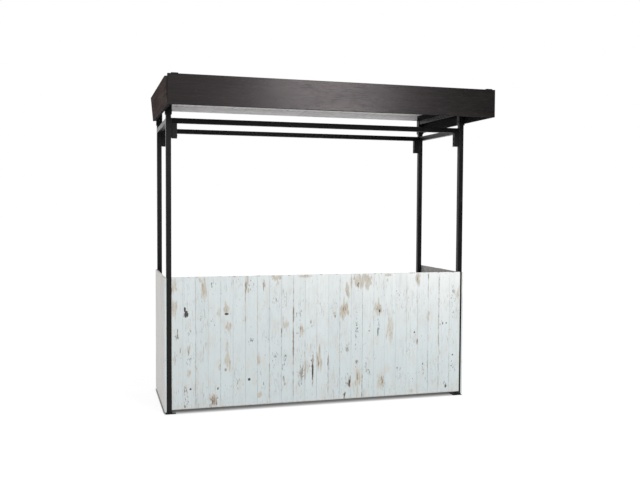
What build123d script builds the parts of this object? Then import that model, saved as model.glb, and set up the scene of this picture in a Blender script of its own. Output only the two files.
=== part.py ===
"""Market stall: a bolted frame of square steel tube, boarded on three sides, under a boxed timber roof.

X runs along the counter, Y from the customer's side to the seller's side, Z up. Lengths are in millimetres.
The pieces are placed about the middle of the four posts. The whole stall is then moved so that the origin
lies on the ground, under the middle of the box that encloses it.
"""

import math
import os

from build123d import *

# Square steel tube of the posts, beams and rails
TUBE_SIDE = 35.0
TUBE_WALL = 2.0
TUBE_CORNER_RADIUS = 3.0

# Frame, over the outer faces of the posts
FRAME_WIDTH = 2200.0
FRAME_DEPTH = 795.0

# Foot plate under each post
FOOT_THICKNESS = 6.0
FOOT_OUTER_REACH = 7.0
FOOT_INNER_REACH = 28.0

# Tie beams that hold the post heads together, and the bolted brackets of the two long ones
TIE_TOP = 2014.0
BRACKET_PLATE_THICKNESS = 5.0
BRACKET_DROP = 99.0

# Boarded panels and the rails that carry them
PANEL_THICKNESS = 12.0
FRONT_PANEL_BOTTOM = 30.0
FRONT_PANEL_HEIGHT = 908.0
FRONT_PANEL_LAP = 16.0
SIDE_PANEL_BOTTOM = 12.0
SIDE_PANEL_HEIGHT = 920.0
FRONT_RAIL_DROP = 78.0
FRONT_RAIL_RISE = 70.0
SIDE_RAIL_DROP = 72.0
SIDE_RAIL_RISE = 88.0

# Sockets of the roof, which slip over the post heads
SOCKET_WALL = 4.5
SOCKET_CLEARANCE = 0.5
SOCKET_RAISE = 23.0
SOCKET_LENGTH = 114.0
SOCKET_CAP_THICKNESS = 5.0

# Timber of the roof
BEARER_HEIGHT = 39.0
BACK_BATTEN_THICKNESS = 18.0
DECK_THICKNESS = 18.0
FASCIA_THICKNESS = 22.0
FRONT_FASCIA_HEIGHT = 190.0
SIDE_FASCIA_HEIGHT = 178.0
FASCIA_RAISE = 15.0
FRONT_OVERHANG = 422.5
BACK_OVERHANG = 8.0

# The left fascia has worked loose: it leans outward, and its back end has lifted
LEFT_FASCIA_LEAN_DEGREES = 5.5
LEFT_FASCIA_LIFT_DEGREES = 1.0

# Steel straps that hook the front fascia to the deck, in line with the bearers
HANGER_WIDTH = 45.0
HANGER_THICKNESS = 5.0

# Places worked out from the sizes above
POST_X = (FRAME_WIDTH - TUBE_SIDE) / 2
POST_Y = (FRAME_DEPTH - TUBE_SIDE) / 2
INNER_WIDTH = FRAME_WIDTH - 2 * TUBE_SIDE
INNER_DEPTH = FRAME_DEPTH - 2 * TUBE_SIDE
TIE_CENTRE_Z = TIE_TOP - TUBE_SIDE / 2
FRONT_PANEL_TOP = FRONT_PANEL_BOTTOM + FRONT_PANEL_HEIGHT
SIDE_PANEL_TOP = SIDE_PANEL_BOTTOM + SIDE_PANEL_HEIGHT

SOCKET_BORE = TUBE_SIDE + 2 * SOCKET_CLEARANCE
SOCKET_SIDE = SOCKET_BORE + 2 * SOCKET_WALL
SOCKET_BOTTOM = TIE_TOP + SOCKET_RAISE
SOCKET_TOP = SOCKET_BOTTOM + SOCKET_LENGTH
POST_TOP = SOCKET_TOP - SOCKET_CAP_THICKNESS
ROOF_RAIL_Z = SOCKET_TOP - TUBE_SIDE / 2

FASCIA_BOTTOM = SOCKET_BOTTOM + FASCIA_RAISE
FRONT_FASCIA_TOP = FASCIA_BOTTOM + FRONT_FASCIA_HEIGHT
FASCIA_INNER_X = POST_X + SOCKET_SIDE / 2
FASCIA_OUTER_X = FASCIA_INNER_X + FASCIA_THICKNESS
ROOF_FRONT_Y = -FRAME_DEPTH / 2 - FRONT_OVERHANG
ROOF_BACK_Y = FRAME_DEPTH / 2 + BACK_OVERHANG
FASCIA_BACK_FACE_Y = ROOF_FRONT_Y + FASCIA_THICKNESS
BEARER_LENGTH = ROOF_BACK_Y - FASCIA_BACK_FACE_Y
BEARER_CENTRE_Y = (ROOF_BACK_Y + FASCIA_BACK_FACE_Y) / 2
BEARER_CENTRE_Z = SOCKET_TOP + BEARER_HEIGHT / 2
DECK_BOTTOM = SOCKET_TOP + BEARER_HEIGHT
DECK_TOP = DECK_BOTTOM + DECK_THICKNESS

SIDES = {"left": -1, "right": 1}
ENDS = {"front": -1, "back": 1}


def square_tube(length, plane):
    """A hollow square tube with rounded outer corners, about the plane's origin and along its normal."""
    outline = RectangleRounded(TUBE_SIDE, TUBE_SIDE, TUBE_CORNER_RADIUS)
    bore_side = TUBE_SIDE - 2 * TUBE_WALL
    section = outline - Rectangle(bore_side, bore_side)
    return plane * Pos(0, 0, -length / 2) * extrude(section, amount=length)


def slab(size_x, size_y, size_z, centre):
    """A square-edged board or plate about its centre."""
    return Pos(*centre) * Box(size_x, size_y, size_z)


def make_posts():
    """Four posts, each standing on its foot plate with its head up in a socket of the roof."""
    pieces = {}
    post_length = POST_TOP - FOOT_THICKNESS
    foot_side = TUBE_SIDE + FOOT_OUTER_REACH + FOOT_INNER_REACH
    foot_inset = (FOOT_INNER_REACH - FOOT_OUTER_REACH) / 2
    for end, toward_back in ENDS.items():
        for side, toward_right in SIDES.items():
            x, y = toward_right * POST_X, toward_back * POST_Y
            post = square_tube(post_length, Plane.XY)
            pieces[f"{end}_{side}_post"] = Pos(x, y, FOOT_THICKNESS + post_length / 2) * post
            foot_x, foot_y = x - toward_right * foot_inset, y - toward_back * foot_inset
            foot_centre = (foot_x, foot_y, FOOT_THICKNESS / 2)
            pieces[f"{end}_{side}_foot"] = slab(foot_side, foot_side, FOOT_THICKNESS, foot_centre)
    return pieces


def make_bracket(toward_right):
    """End plate of a long tie beam and the tube stub below it, welded together, from the post's inner face."""
    plate_height = TUBE_SIDE + BRACKET_DROP
    plate_centre = (-toward_right * BRACKET_PLATE_THICKNESS / 2, 0, TIE_TOP - plate_height / 2)
    plate = slab(BRACKET_PLATE_THICKNESS, TUBE_SIDE, plate_height, plate_centre)
    stub_x = -toward_right * (BRACKET_PLATE_THICKNESS + TUBE_SIDE / 2)
    stub_z = TIE_TOP - TUBE_SIDE - BRACKET_DROP / 2
    return plate + Pos(stub_x, 0, stub_z) * square_tube(BRACKET_DROP, Plane.XY)


def make_tie_beams():
    """The ring of tie beams: the long ones bolted on by brackets, the short ones welded between the posts."""
    pieces = {}
    for end, toward_back in ENDS.items():
        y = toward_back * POST_Y
        beam = square_tube(INNER_WIDTH - 2 * BRACKET_PLATE_THICKNESS, Plane.YZ)
        pieces[f"{end}_tie_beam"] = Pos(0, y, TIE_CENTRE_Z) * beam
        for side, toward_right in SIDES.items():
            inner_face_x = toward_right * INNER_WIDTH / 2
            pieces[f"{end}_{side}_bracket"] = Pos(inner_face_x, y, 0) * make_bracket(toward_right)
    for side, toward_right in SIDES.items():
        beam = square_tube(INNER_DEPTH, Plane.ZX)
        pieces[f"{side}_tie_beam"] = Pos(toward_right * POST_X, 0, TIE_CENTRE_Z) * beam
    return pieces


def make_panel_rails():
    """Rails between the posts, one under the top edge of each panel and one above its bottom edge."""
    pieces = {}
    front_heights = {
        "counter_rail": FRONT_PANEL_TOP - FRONT_RAIL_DROP - TUBE_SIDE / 2,
        "bottom_rail": FRONT_PANEL_BOTTOM + FRONT_RAIL_RISE + TUBE_SIDE / 2,
    }
    for name, z in front_heights.items():
        pieces[f"front_{name}"] = Pos(0, -POST_Y, z) * square_tube(INNER_WIDTH, Plane.YZ)
    side_heights = {
        "counter_rail": SIDE_PANEL_TOP - SIDE_RAIL_DROP - TUBE_SIDE / 2,
        "bottom_rail": SIDE_PANEL_BOTTOM + SIDE_RAIL_RISE + TUBE_SIDE / 2,
    }
    for name, z in side_heights.items():
        for side, toward_right in SIDES.items():
            rail = square_tube(INNER_DEPTH, Plane.ZX)
            pieces[f"{side}_{name}"] = Pos(toward_right * POST_X, 0, z) * rail
    return pieces


def make_panels():
    """The boarded front, which clears the left post and laps onto the right one, and the two boarded sides."""
    pieces = {}
    front_width = INNER_WIDTH + FRONT_PANEL_LAP
    front_y = -(FRAME_DEPTH + PANEL_THICKNESS) / 2
    front_centre = (FRONT_PANEL_LAP / 2, front_y, FRONT_PANEL_BOTTOM + FRONT_PANEL_HEIGHT / 2)
    pieces["front_panel"] = slab(front_width, PANEL_THICKNESS, FRONT_PANEL_HEIGHT, front_centre)
    side_x = (FRAME_WIDTH + PANEL_THICKNESS) / 2
    for side, toward_right in SIDES.items():
        side_centre = (toward_right * side_x, 0, SIDE_PANEL_BOTTOM + SIDE_PANEL_HEIGHT / 2)
        pieces[f"{side}_panel"] = slab(PANEL_THICKNESS, FRAME_DEPTH, SIDE_PANEL_HEIGHT, side_centre)
    return pieces


def make_socket():
    """A capped square sleeve for a post head, standing on the plane of its own lower end."""
    body = slab(SOCKET_SIDE, SOCKET_SIDE, SOCKET_LENGTH, (0, 0, SOCKET_LENGTH / 2))
    bore_depth = SOCKET_LENGTH - SOCKET_CAP_THICKNESS
    return body - slab(SOCKET_BORE, SOCKET_BORE, bore_depth, (0, 0, bore_depth / 2))


def make_roof_frame():
    """Four sockets, the steel rail between each pair, and the timber bearer that lies along them."""
    pieces = {}
    for side, toward_right in SIDES.items():
        x = toward_right * POST_X
        for end, toward_back in ENDS.items():
            pieces[f"{end}_{side}_socket"] = Pos(x, toward_back * POST_Y, SOCKET_BOTTOM) * make_socket()
        rail = square_tube(2 * POST_Y - SOCKET_SIDE, Plane.ZX)
        pieces[f"{side}_roof_rail"] = Pos(x, 0, ROOF_RAIL_Z) * rail
        bearer_centre = (x, BEARER_CENTRE_Y, BEARER_CENTRE_Z)
        pieces[f"{side}_roof_bearer"] = slab(SOCKET_SIDE, BEARER_LENGTH, BEARER_HEIGHT, bearer_centre)
    return pieces


def make_roof_boards():
    """The deck and the pale batten under its back edge."""
    pieces = {}
    batten_width = 2 * (POST_X - SOCKET_SIDE / 2)
    batten_centre = (0, ROOF_BACK_Y - BACK_BATTEN_THICKNESS / 2, BEARER_CENTRE_Z)
    pieces["back_roof_batten"] = slab(batten_width, BACK_BATTEN_THICKNESS, BEARER_HEIGHT, batten_centre)
    deck_centre = (0, BEARER_CENTRE_Y, DECK_BOTTOM + DECK_THICKNESS / 2)
    pieces["roof_deck"] = slab(2 * FASCIA_INNER_X, BEARER_LENGTH, DECK_THICKNESS, deck_centre)
    return pieces


def make_side_fascia(toward_right, length):
    """A side fascia board on edge, from the lower front corner of its inner face."""
    centre = (toward_right * FASCIA_THICKNESS / 2, length / 2, SIDE_FASCIA_HEIGHT / 2)
    return slab(FASCIA_THICKNESS, length, SIDE_FASCIA_HEIGHT, centre)


def make_fascias():
    """The boards that box in the roof: the front one covers the front ends of the two side ones."""
    pieces = {}
    front_centre = (0, ROOF_FRONT_Y + FASCIA_THICKNESS / 2, FASCIA_BOTTOM + FRONT_FASCIA_HEIGHT / 2)
    pieces["front_fascia"] = slab(2 * FASCIA_OUTER_X, FASCIA_THICKNESS, FRONT_FASCIA_HEIGHT, front_centre)
    right_seat = Pos(FASCIA_INNER_X, FASCIA_BACK_FACE_Y, FASCIA_BOTTOM)
    pieces["right_fascia"] = right_seat * make_side_fascia(SIDES["right"], BEARER_LENGTH)
    setback = SIDE_FASCIA_HEIGHT * math.sin(math.radians(LEFT_FASCIA_LIFT_DEGREES))
    left_seat = Pos(-FASCIA_INNER_X, FASCIA_BACK_FACE_Y + setback, FASCIA_BOTTOM)
    loose_turn = Rot(LEFT_FASCIA_LIFT_DEGREES, 0, 0) * Rot(0, -LEFT_FASCIA_LEAN_DEGREES, 0)
    pieces["left_fascia"] = left_seat * loose_turn * make_side_fascia(SIDES["left"], BEARER_LENGTH - setback)
    return pieces


def make_fascia_hangers():
    """Bent straps that lie over the top edge of the front fascia and stand on the deck behind it."""
    pieces = {}
    top_depth = FASCIA_THICKNESS + HANGER_THICKNESS
    leg_height = FRONT_FASCIA_TOP - DECK_TOP
    for side, toward_right in SIDES.items():
        x = toward_right * POST_X
        top_centre = (x, ROOF_FRONT_Y + top_depth / 2, FRONT_FASCIA_TOP + HANGER_THICKNESS / 2)
        leg_centre = (x, FASCIA_BACK_FACE_Y + HANGER_THICKNESS / 2, DECK_TOP + leg_height / 2)
        top = slab(HANGER_WIDTH, top_depth, HANGER_THICKNESS, top_centre)
        pieces[f"{side}_fascia_hanger"] = top + slab(HANGER_WIDTH, HANGER_THICKNESS, leg_height, leg_centre)
    return pieces


def origin_shift():
    """The move that brings the middle of the enclosing box over the origin."""
    lean = math.radians(LEFT_FASCIA_LEAN_DEGREES)
    left_reach = FASCIA_INNER_X + FASCIA_THICKNESS * math.cos(lean) + SIDE_FASCIA_HEIGHT * math.sin(lean)
    return Pos((left_reach - FASCIA_OUTER_X) / 2, -(ROOF_FRONT_Y + ROOF_BACK_Y) / 2, 0)


def main():
    """Makes every piece, moves it to the stall's own origin and writes it to a file of its own."""
    os.makedirs("parts", exist_ok=True)
    pieces = {
        **make_posts(),
        **make_tie_beams(),
        **make_panel_rails(),
        **make_panels(),
        **make_roof_frame(),
        **make_roof_boards(),
        **make_fascias(),
        **make_fascia_hangers(),
    }
    shift = origin_shift()
    for name, piece in pieces.items():
        export_step(shift * piece, f"parts/{name}.step")


main()
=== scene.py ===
"""Looks of a market stall: bolted black steel frame, worn whitewashed boarding and a dark boxed roof."""
import logging
import math
import random
from dataclasses import dataclass, field
from enum import Enum

import bmesh
import bpy
import numpy as np
from bpy.types import Material, Node, NodeSocket, NodeTree, Object
from mathutils import Matrix, Vector


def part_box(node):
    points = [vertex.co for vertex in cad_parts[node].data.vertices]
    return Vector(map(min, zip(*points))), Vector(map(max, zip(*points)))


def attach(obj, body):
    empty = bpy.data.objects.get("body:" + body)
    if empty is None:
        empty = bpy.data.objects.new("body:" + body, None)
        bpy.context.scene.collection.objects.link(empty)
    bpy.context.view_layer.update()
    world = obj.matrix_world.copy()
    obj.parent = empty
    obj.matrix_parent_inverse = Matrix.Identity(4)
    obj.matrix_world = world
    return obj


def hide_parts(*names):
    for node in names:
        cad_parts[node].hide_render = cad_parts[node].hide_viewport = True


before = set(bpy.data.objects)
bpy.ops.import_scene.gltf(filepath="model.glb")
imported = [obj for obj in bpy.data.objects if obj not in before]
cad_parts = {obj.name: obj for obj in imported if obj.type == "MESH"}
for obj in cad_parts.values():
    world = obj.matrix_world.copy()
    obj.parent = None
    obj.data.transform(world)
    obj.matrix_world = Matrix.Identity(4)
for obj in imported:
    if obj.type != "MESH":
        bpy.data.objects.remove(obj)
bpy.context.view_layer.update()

log = logging.getLogger("market_stall")

MM = 0.001
ROOT = "root"
FRONT_BOARDS = 25
SIDE_BOARDS = 9
QUARTER_TURN = math.radians(90)
FLAT_ANGLE = math.radians(1)
SHARP_ANGLE = math.radians(40)
# A face looks in a direction when its unit normal reaches further than this along it.
FACING = 0.9
Colour = tuple[float, float, float, float]


class Slot(Enum):
    """The record's material slots."""

    STEEL = "black_steel"
    BOARDING = "whitewashed_board"
    STAINED = "dark_stained_board"
    ROOF = "pale_roof_board"


class Axis(Enum):
    """Directions of the stall: along its front, front to back, and up."""

    X = 0
    Y = 1
    Z = 2

    @property
    def unit(self) -> Vector:
        """The unit vector of this direction."""
        return Vector([float(i == self.value) for i in range(3)])


class Wear(Enum):
    """What shows where the whitewash is worn, with its channel in the wear attribute."""

    TAN = 0
    BROWN = 1
    DARK = 2
    FLECKS = 3


def srgb(red: int, green: int, blue: int) -> Colour:
    """Turns a screen colour into a linear one.

    Args:
        red: red from 0 to 255.
        green: green from 0 to 255.
        blue: blue from 0 to 255.

    Returns:
        Linear red, green, blue and an alpha of one.
    """
    def linear(level: int) -> float:
        """Linear value of one channel."""
        share = level / 255
        return share / 12.92 if share <= 0.04045 else ((share + 0.055) / 1.055) ** 2.4

    return linear(red), linear(green), linear(blue), 1.0


def solids(*ends: str) -> list[str]:
    """Names of the frame's solids that end in one of these words."""
    return [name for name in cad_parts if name.endswith(ends)]


class Bench:
    """Modelling steps that the sub-assemblies share."""

    @staticmethod
    def pick(*objects: Object) -> None:
        """Selects some objects alone, with the first one active.

        Args:
            objects: the objects to select, at least one.
        """
        Bench.clear()
        for chosen in objects:
            chosen.select_set(True)
        bpy.context.view_layer.objects.active = objects[0]

    @staticmethod
    def clear() -> None:
        """Deselects everything."""
        bpy.ops.object.select_all(action="DESELECT")

    @staticmethod
    def edit(piece: Object) -> bmesh.types.BMesh:
        """Opens a piece in edit mode with nothing selected.

        Args:
            piece: the object to edit.

        Returns:
            Its edit mesh.
        """
        Bench.pick(piece)
        bpy.ops.object.mode_set(mode="EDIT")
        bpy.ops.mesh.select_all(action="DESELECT")
        return bmesh.from_edit_mesh(piece.data)

    @staticmethod
    def select_top(mesh: bmesh.types.BMesh) -> None:
        """Selects the faces of an edit mesh that look up."""
        for face in mesh.faces:
            face.select_set(face.normal.z > FACING)

    @staticmethod
    def leave() -> None:
        """Goes back to object mode."""
        bpy.ops.object.mode_set(mode="OBJECT")

    @staticmethod
    def settle(piece: Object, name: str) -> Object:
        """Names a piece and puts its place, turn and size into its mesh.

        Args:
            piece: the object that was just added.
            name: its new name.

        Returns:
            The same object.
        """
        piece.name = name
        piece.data.name = name
        Bench.pick(piece)
        bpy.ops.object.transform_apply(location=True, rotation=True, scale=True)
        return piece

    @staticmethod
    def block(name: str, low: Vector, high: Vector) -> Object:
        """Adds a box between two corners.

        Args:
            name: name of the object.
            low: lowest corner.
            high: highest corner.

        Returns:
            The box, ready to be shaped.
        """
        Bench.clear()
        bpy.ops.mesh.primitive_cube_add(size=1.0, location=(low + high) / 2, scale=high - low)
        return Bench.settle(bpy.context.active_object, name)

    @staticmethod
    def copy_of_node(node: str, name: str) -> Object:
        """Makes a merged copy of a solid of the frame, with plain flat faces.

        Args:
            node: name of the solid.
            name: name of the copy.

        Returns:
            The copy, ready to be shaped.
        """
        piece = bpy.data.objects.new(name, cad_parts[node].data.copy())
        piece.data.name = name
        piece.data.materials.clear()
        bpy.context.scene.collection.objects.link(piece)
        Bench.edit(piece)
        bpy.ops.mesh.select_all(action="SELECT")
        bpy.ops.mesh.remove_doubles(threshold=0.01 * MM)
        bpy.ops.mesh.dissolve_limited(angle_limit=FLAT_ANGLE)
        Bench.leave()
        return piece

    @staticmethod
    def round_edges(piece: Object, width: float, segments: int = 2) -> None:
        """Rounds the sharp edges of a piece and shades it smoothly.

        Args:
            piece: the piece to finish.
            width: width of the rounding.
            segments: number of steps across it.
        """
        Bench.pick(piece)
        rounding = piece.modifiers.new("rounding", "BEVEL")
        rounding.width = width
        rounding.segments = segments
        rounding.limit_method = "ANGLE"
        rounding.angle_limit = SHARP_ANGLE
        bpy.ops.object.modifier_apply(modifier=rounding.name)
        bpy.ops.object.shade_smooth_by_angle(angle=SHARP_ANGLE)
        flat = piece.modifiers.new("flat_faces", "WEIGHTED_NORMAL")
        flat.keep_sharp = True
        bpy.ops.object.modifier_apply(modifier=flat.name)

    @staticmethod
    def copy(pattern: Object, name: str, place: Matrix) -> Object:
        """Copies a modelled piece, with a mesh of its own, to another place.

        Args:
            pattern: the piece to copy.
            name: name of the copy.
            place: where the copy goes, from the pattern's own frame.

        Returns:
            The copy.
        """
        Bench.pick(pattern)
        bpy.ops.object.duplicate(linked=False)
        piece = bpy.context.active_object
        piece.matrix_world = place
        return Bench.settle(piece, name)

    @staticmethod
    def join(name: str, parts: list[Object]) -> Object:
        """Joins parts into one piece.

        Args:
            name: name of the joined piece.
            parts: the parts, at least one.

        Returns:
            The joined piece.
        """
        Bench.pick(*parts)
        bpy.ops.object.join()
        piece = bpy.context.active_object
        piece.name = name
        piece.data.name = name
        return piece

    @staticmethod
    def discard(pattern: Object) -> None:
        """Removes a pattern once its copies are made."""
        bpy.data.objects.remove(pattern)

    @staticmethod
    def dress(piece: Object, materials: list[Material], slot: Slot, *nodes: str) -> Object:
        """Gives a finished piece its materials and its place in the frame.

        Args:
            piece: the finished piece.
            materials: its materials, in the order of its face indices.
            slot: the record's slot that it belongs to; not used.
            nodes: solids of the frame that it stands for.

        Returns:
            The same piece.
        """
        for material in materials:
            piece.data.materials.append(material)
        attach(piece, ROOT)
        if nodes:
            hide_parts(*nodes)
        log.info("%s: %d faces, stands for %s", piece.name, len(piece.data.polygons), nodes or "no solid")
        return piece


class Graph:
    """A shader node tree that is filled one node at a time."""

    def __init__(self, tree: NodeTree) -> None:
        """Takes a tree and empties it."""
        tree.nodes.clear()
        self.tree = tree

    def feed(self, socket: NodeSocket, value: object) -> None:
        """Links an output to a socket, or sets the socket's own value.

        Args:
            socket: the input to fill.
            value: an output to link, or a plain value.
        """
        if isinstance(value, NodeSocket):
            self.tree.links.new(value, socket)
        else:
            socket.default_value = value

    def add(self, kind: str, inputs: dict | None = None, **settings: object) -> Node:
        """Adds one node.

        Args:
            kind: type of the node, without its ShaderNode prefix.
            inputs: socket names or numbers, each with a value to set or an output to link.
            settings: properties of the node itself.

        Returns:
            The new node.
        """
        node = self.tree.nodes.new(f"ShaderNode{kind}")
        for name, value in settings.items():
            setattr(node, name, value)
        for key, value in (inputs or {}).items():
            self.feed(node.inputs[key], value)
        return node

    def sum(self, operation: str, first: object, second: object = 0.0) -> NodeSocket:
        """Adds a Math node of this operation and returns its result."""
        return self.add("Math", {0: first, 1: second}, operation=operation).outputs[0]

    def times(self, first: object, second: object) -> NodeSocket:
        """Multiplies two values."""
        return self.sum("MULTIPLY", first, second)

    def vector(self, operation: str, first: object, second: object = (0, 0, 0)) -> NodeSocket:
        """Adds a Vector Math node of this operation and returns its vector."""
        return self.add("VectorMath", {0: first, 1: second}, operation=operation).outputs[0]

    def step(
        self, value: object, low: float, high: float, start: float = 0.0, end: float = 1.0
    ) -> NodeSocket:
        """Adds a smooth step.

        Args:
            value: the value to step.
            low: where the step starts.
            high: where it ends.
            start: result below the step.
            end: result above it.

        Returns:
            The stepped value.
        """
        limits = {"Value": value, "From Min": low, "From Max": high, "To Min": start, "To Max": end}
        return self.add("MapRange", limits, interpolation_type="SMOOTHSTEP").outputs["Result"]

    def mix(self, share: object, first: object, second: object) -> NodeSocket:
        """Mixes two colours.

        Args:
            share: how much of the second colour is used.
            first: first colour.
            second: second colour.

        Returns:
            The mixed colour.
        """
        return self.add("Mix", {0: share, 6: first, 7: second}, data_type="RGBA").outputs[2]

    def noise(self, vector: object, scale: float, detail: float = 2.0, roughness: float = 0.5) -> NodeSocket:
        """Adds a noise texture.

        Args:
            vector: coordinates that it reads.
            scale: its scale, in features a metre.
            detail: number of finer layers.
            roughness: strength of the finer layers.

        Returns:
            The noise, from 0 to 1.
        """
        values = {"Vector": vector, "Scale": scale, "Detail": detail, "Roughness": roughness}
        return self.add("TexNoise", values).outputs[0]

    def stretch(self, vector: object, scale: tuple[float, float, float]) -> NodeSocket:
        """Scales coordinates by an amount for each direction."""
        return self.add("Mapping", {"Vector": vector, "Scale": scale}).outputs[0]

    def grained(self, vector: object, squeeze: float, *layers: float) -> NodeSocket:
        """Adds a noise that is drawn out along the grain, the third coordinate.

        Args:
            vector: coordinates that it reads.
            squeeze: scale of the third coordinate; the smaller it is, the longer the features.
            layers: scale, detail and roughness of the noise.

        Returns:
            The noise, from 0 to 1.
        """
        return self.noise(self.stretch(vector, (1, 1, squeeze)), *layers)

    def bump(self, height: object, strength: float, depth: float) -> NodeSocket:
        """Turns a height into a normal, with its depth in metres."""
        return self.add("Bump", {"Strength": strength, "Distance": depth, "Height": height}).outputs[0]

    def surface(
        self, shader: Node, colour: object, roughness: object, normal: object, specular: float
    ) -> None:
        """Feeds a finish into its shader.

        Args:
            shader: the principled shader.
            colour: colour of the surface.
            roughness: its roughness.
            normal: its normal, with the bumps.
            specular: level of its reflections.
        """
        values = {
            "Base Color": colour,
            "Roughness": roughness,
            "Normal": normal,
            "Specular IOR Level": specular,
        }
        for name, value in values.items():
            self.feed(shader.inputs[name], value)

    def position(self) -> NodeSocket:
        """Coordinates of the piece in the stall's frame, in metres."""
        return self.add("TexCoord").outputs["Object"]

    def along(self, axis: Axis) -> NodeSocket:
        """Coordinates turned so that the third one runs along the grain.

        Args:
            axis: direction of the grain.

        Returns:
            The turned coordinates.
        """
        position = self.position()
        if axis is Axis.Z:
            return position
        parts = self.add("SeparateXYZ", {0: position}).outputs
        order = (1, 2, 0) if axis is Axis.X else (2, 0, 1)
        return self.add("CombineXYZ", {i: parts[k] for i, k in enumerate(order)}).outputs[0]

    def place(self, effect: NodeTree, **inputs: object) -> dict[str, NodeSocket]:
        """Places a shared effect.

        Args:
            effect: the node group.
            inputs: its inputs, named in lower case with underscores.

        Returns:
            Its outputs by name.
        """
        named = {key.replace("_", " ").title(): value for key, value in inputs.items()}
        return {socket.name: socket for socket in self.add("Group", named, node_tree=effect).outputs}


class SharedEffects:
    """Shader node groups that several finishes place with their own values."""

    VECTOR = "NodeSocketVector"
    NUMBER = "NodeSocketFloat"

    def __init__(self) -> None:
        """Builds every group once."""
        self.grain = self._timber_grain()
        self.rows = self._board_rows()
        self.dust = self._floor_dust()
        self.scuffs = self._scuffs()

    @staticmethod
    def _group(name: str, inputs: dict[str, str], outputs: tuple[str, ...]) -> tuple[Graph, Node, Node]:
        """Starts a group.

        Args:
            name: name of the group.
            inputs: input names, each with its socket type.
            outputs: names of the number outputs.

        Returns:
            The group's graph, its input node and its output node.
        """
        tree = bpy.data.node_groups.new(name, "ShaderNodeTree")
        for socket, kind in inputs.items():
            tree.interface.new_socket(name=socket, in_out="INPUT", socket_type=kind)
        for socket in outputs:
            tree.interface.new_socket(name=socket, in_out="OUTPUT", socket_type=SharedEffects.NUMBER)
        graph = Graph(tree)
        return graph, tree.nodes.new("NodeGroupInput"), tree.nodes.new("NodeGroupOutput")

    def _timber_grain(self) -> NodeTree:
        """Long streaks and fine pores that run along the third coordinate.

        Returns:
            The group.
        """
        outputs = ("Streak", "Pores", "Height")
        graph, given, result = self._group("timber_grain", {"Vector": self.VECTOR}, outputs)
        position = given.outputs[0]
        sideways, inward = 40 * MM, 30 * MM
        sway = graph.grained(position, 0.5, 5, 1)
        shift = graph.add("CombineXYZ", {0: graph.times(sway, sideways), 1: graph.times(sway, inward)})
        swayed = graph.vector("ADD", position, shift.outputs[0])
        streak = graph.grained(swayed, 0.03, 70, 5, 0.6)
        pores = graph.step(graph.grained(swayed, 0.035, 420), 0.52, 0.68)
        height = graph.sum("SUBTRACT", streak, graph.times(pores, 0.35))
        for name, value in zip(outputs, (streak, pores, height)):
            graph.feed(result.inputs[name], value)
        return graph.tree

    def _board_rows(self) -> NodeTree:
        """Distance to the nearest seam of a row of boards, and a tone and warmth for each board.

        Returns:
            The group.
        """
        inputs = {"Across": self.NUMBER, "Start": self.NUMBER, "Pitch": self.NUMBER}
        outputs = ("Seam", "Tone", "Warmth")
        graph, given, result = self._group("board_rows", inputs, outputs)
        across, start, pitch = (given.outputs[name] for name in inputs)
        count = graph.sum("DIVIDE", graph.sum("SUBTRACT", across, start), pitch)
        share = graph.sum("FRACT", count)
        nearest = graph.sum("MINIMUM", share, graph.sum("SUBTRACT", 1.0, share))
        number = graph.sum("FLOOR", count)
        other_draw = graph.sum("ADD", number, 41.5)
        tone, warmth = (
            graph.add("TexWhiteNoise", {"W": value}, noise_dimensions="1D").outputs["Value"]
            for value in (number, other_draw)
        )
        for name, value in zip(outputs, (graph.times(nearest, pitch), tone, warmth)):
            graph.feed(result.inputs[name], value)
        return graph.tree

    def _floor_dust(self) -> NodeTree:
        """Dust and splashes that thin out with height above the floor.

        Returns:
            The group.
        """
        inputs = {"Vector": self.VECTOR, "Reach": self.NUMBER}
        graph, given, result = self._group("floor_dust", inputs, ("Mask",))
        height = graph.add("SeparateXYZ", {0: given.outputs[0]}).outputs[2]
        share = graph.sum("DIVIDE", height, given.outputs[1])
        fade = graph.step(share, 0.0, 1.0, 1.0, 0.0)
        patches = graph.step(graph.noise(given.outputs[0], 38, 4, 0.65), 0.38, 0.7)
        graph.feed(result.inputs["Mask"], graph.times(fade, patches))
        return graph.tree

    def _scuffs(self) -> NodeTree:
        """Sparse rubbed patches made of short fine scratches.

        Returns:
            The group.
        """
        graph, given, result = self._group("scuffs", {"Vector": self.VECTOR}, ("Mask",))
        position = given.outputs[0]
        where = graph.step(graph.noise(position, 7), 0.55, 0.75)
        first = graph.noise(graph.stretch(position, (1, 0.25, 1)), 190, 3, 0.6)
        second = graph.noise(graph.stretch(position, (0.2, 1, 0.6)), 260)
        scratches = graph.sum("MAXIMUM", graph.step(first, 0.58, 0.7), graph.step(second, 0.62, 0.72))
        graph.feed(result.inputs["Mask"], graph.times(where, scratches))
        return graph.tree


def start_material(name: str) -> tuple[Material, Graph, Node]:
    """Starts a material that ends in a principled shader.

    Args:
        name: name of the material.

    Returns:
        The material, its graph and its shader node.
    """
    material = bpy.data.materials.new(name)
    material.use_nodes = True
    graph = Graph(material.node_tree)
    shader = graph.add("BsdfPrincipled")
    graph.add("OutputMaterial", {"Surface": shader.outputs[0]})
    return material, graph, shader


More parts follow.
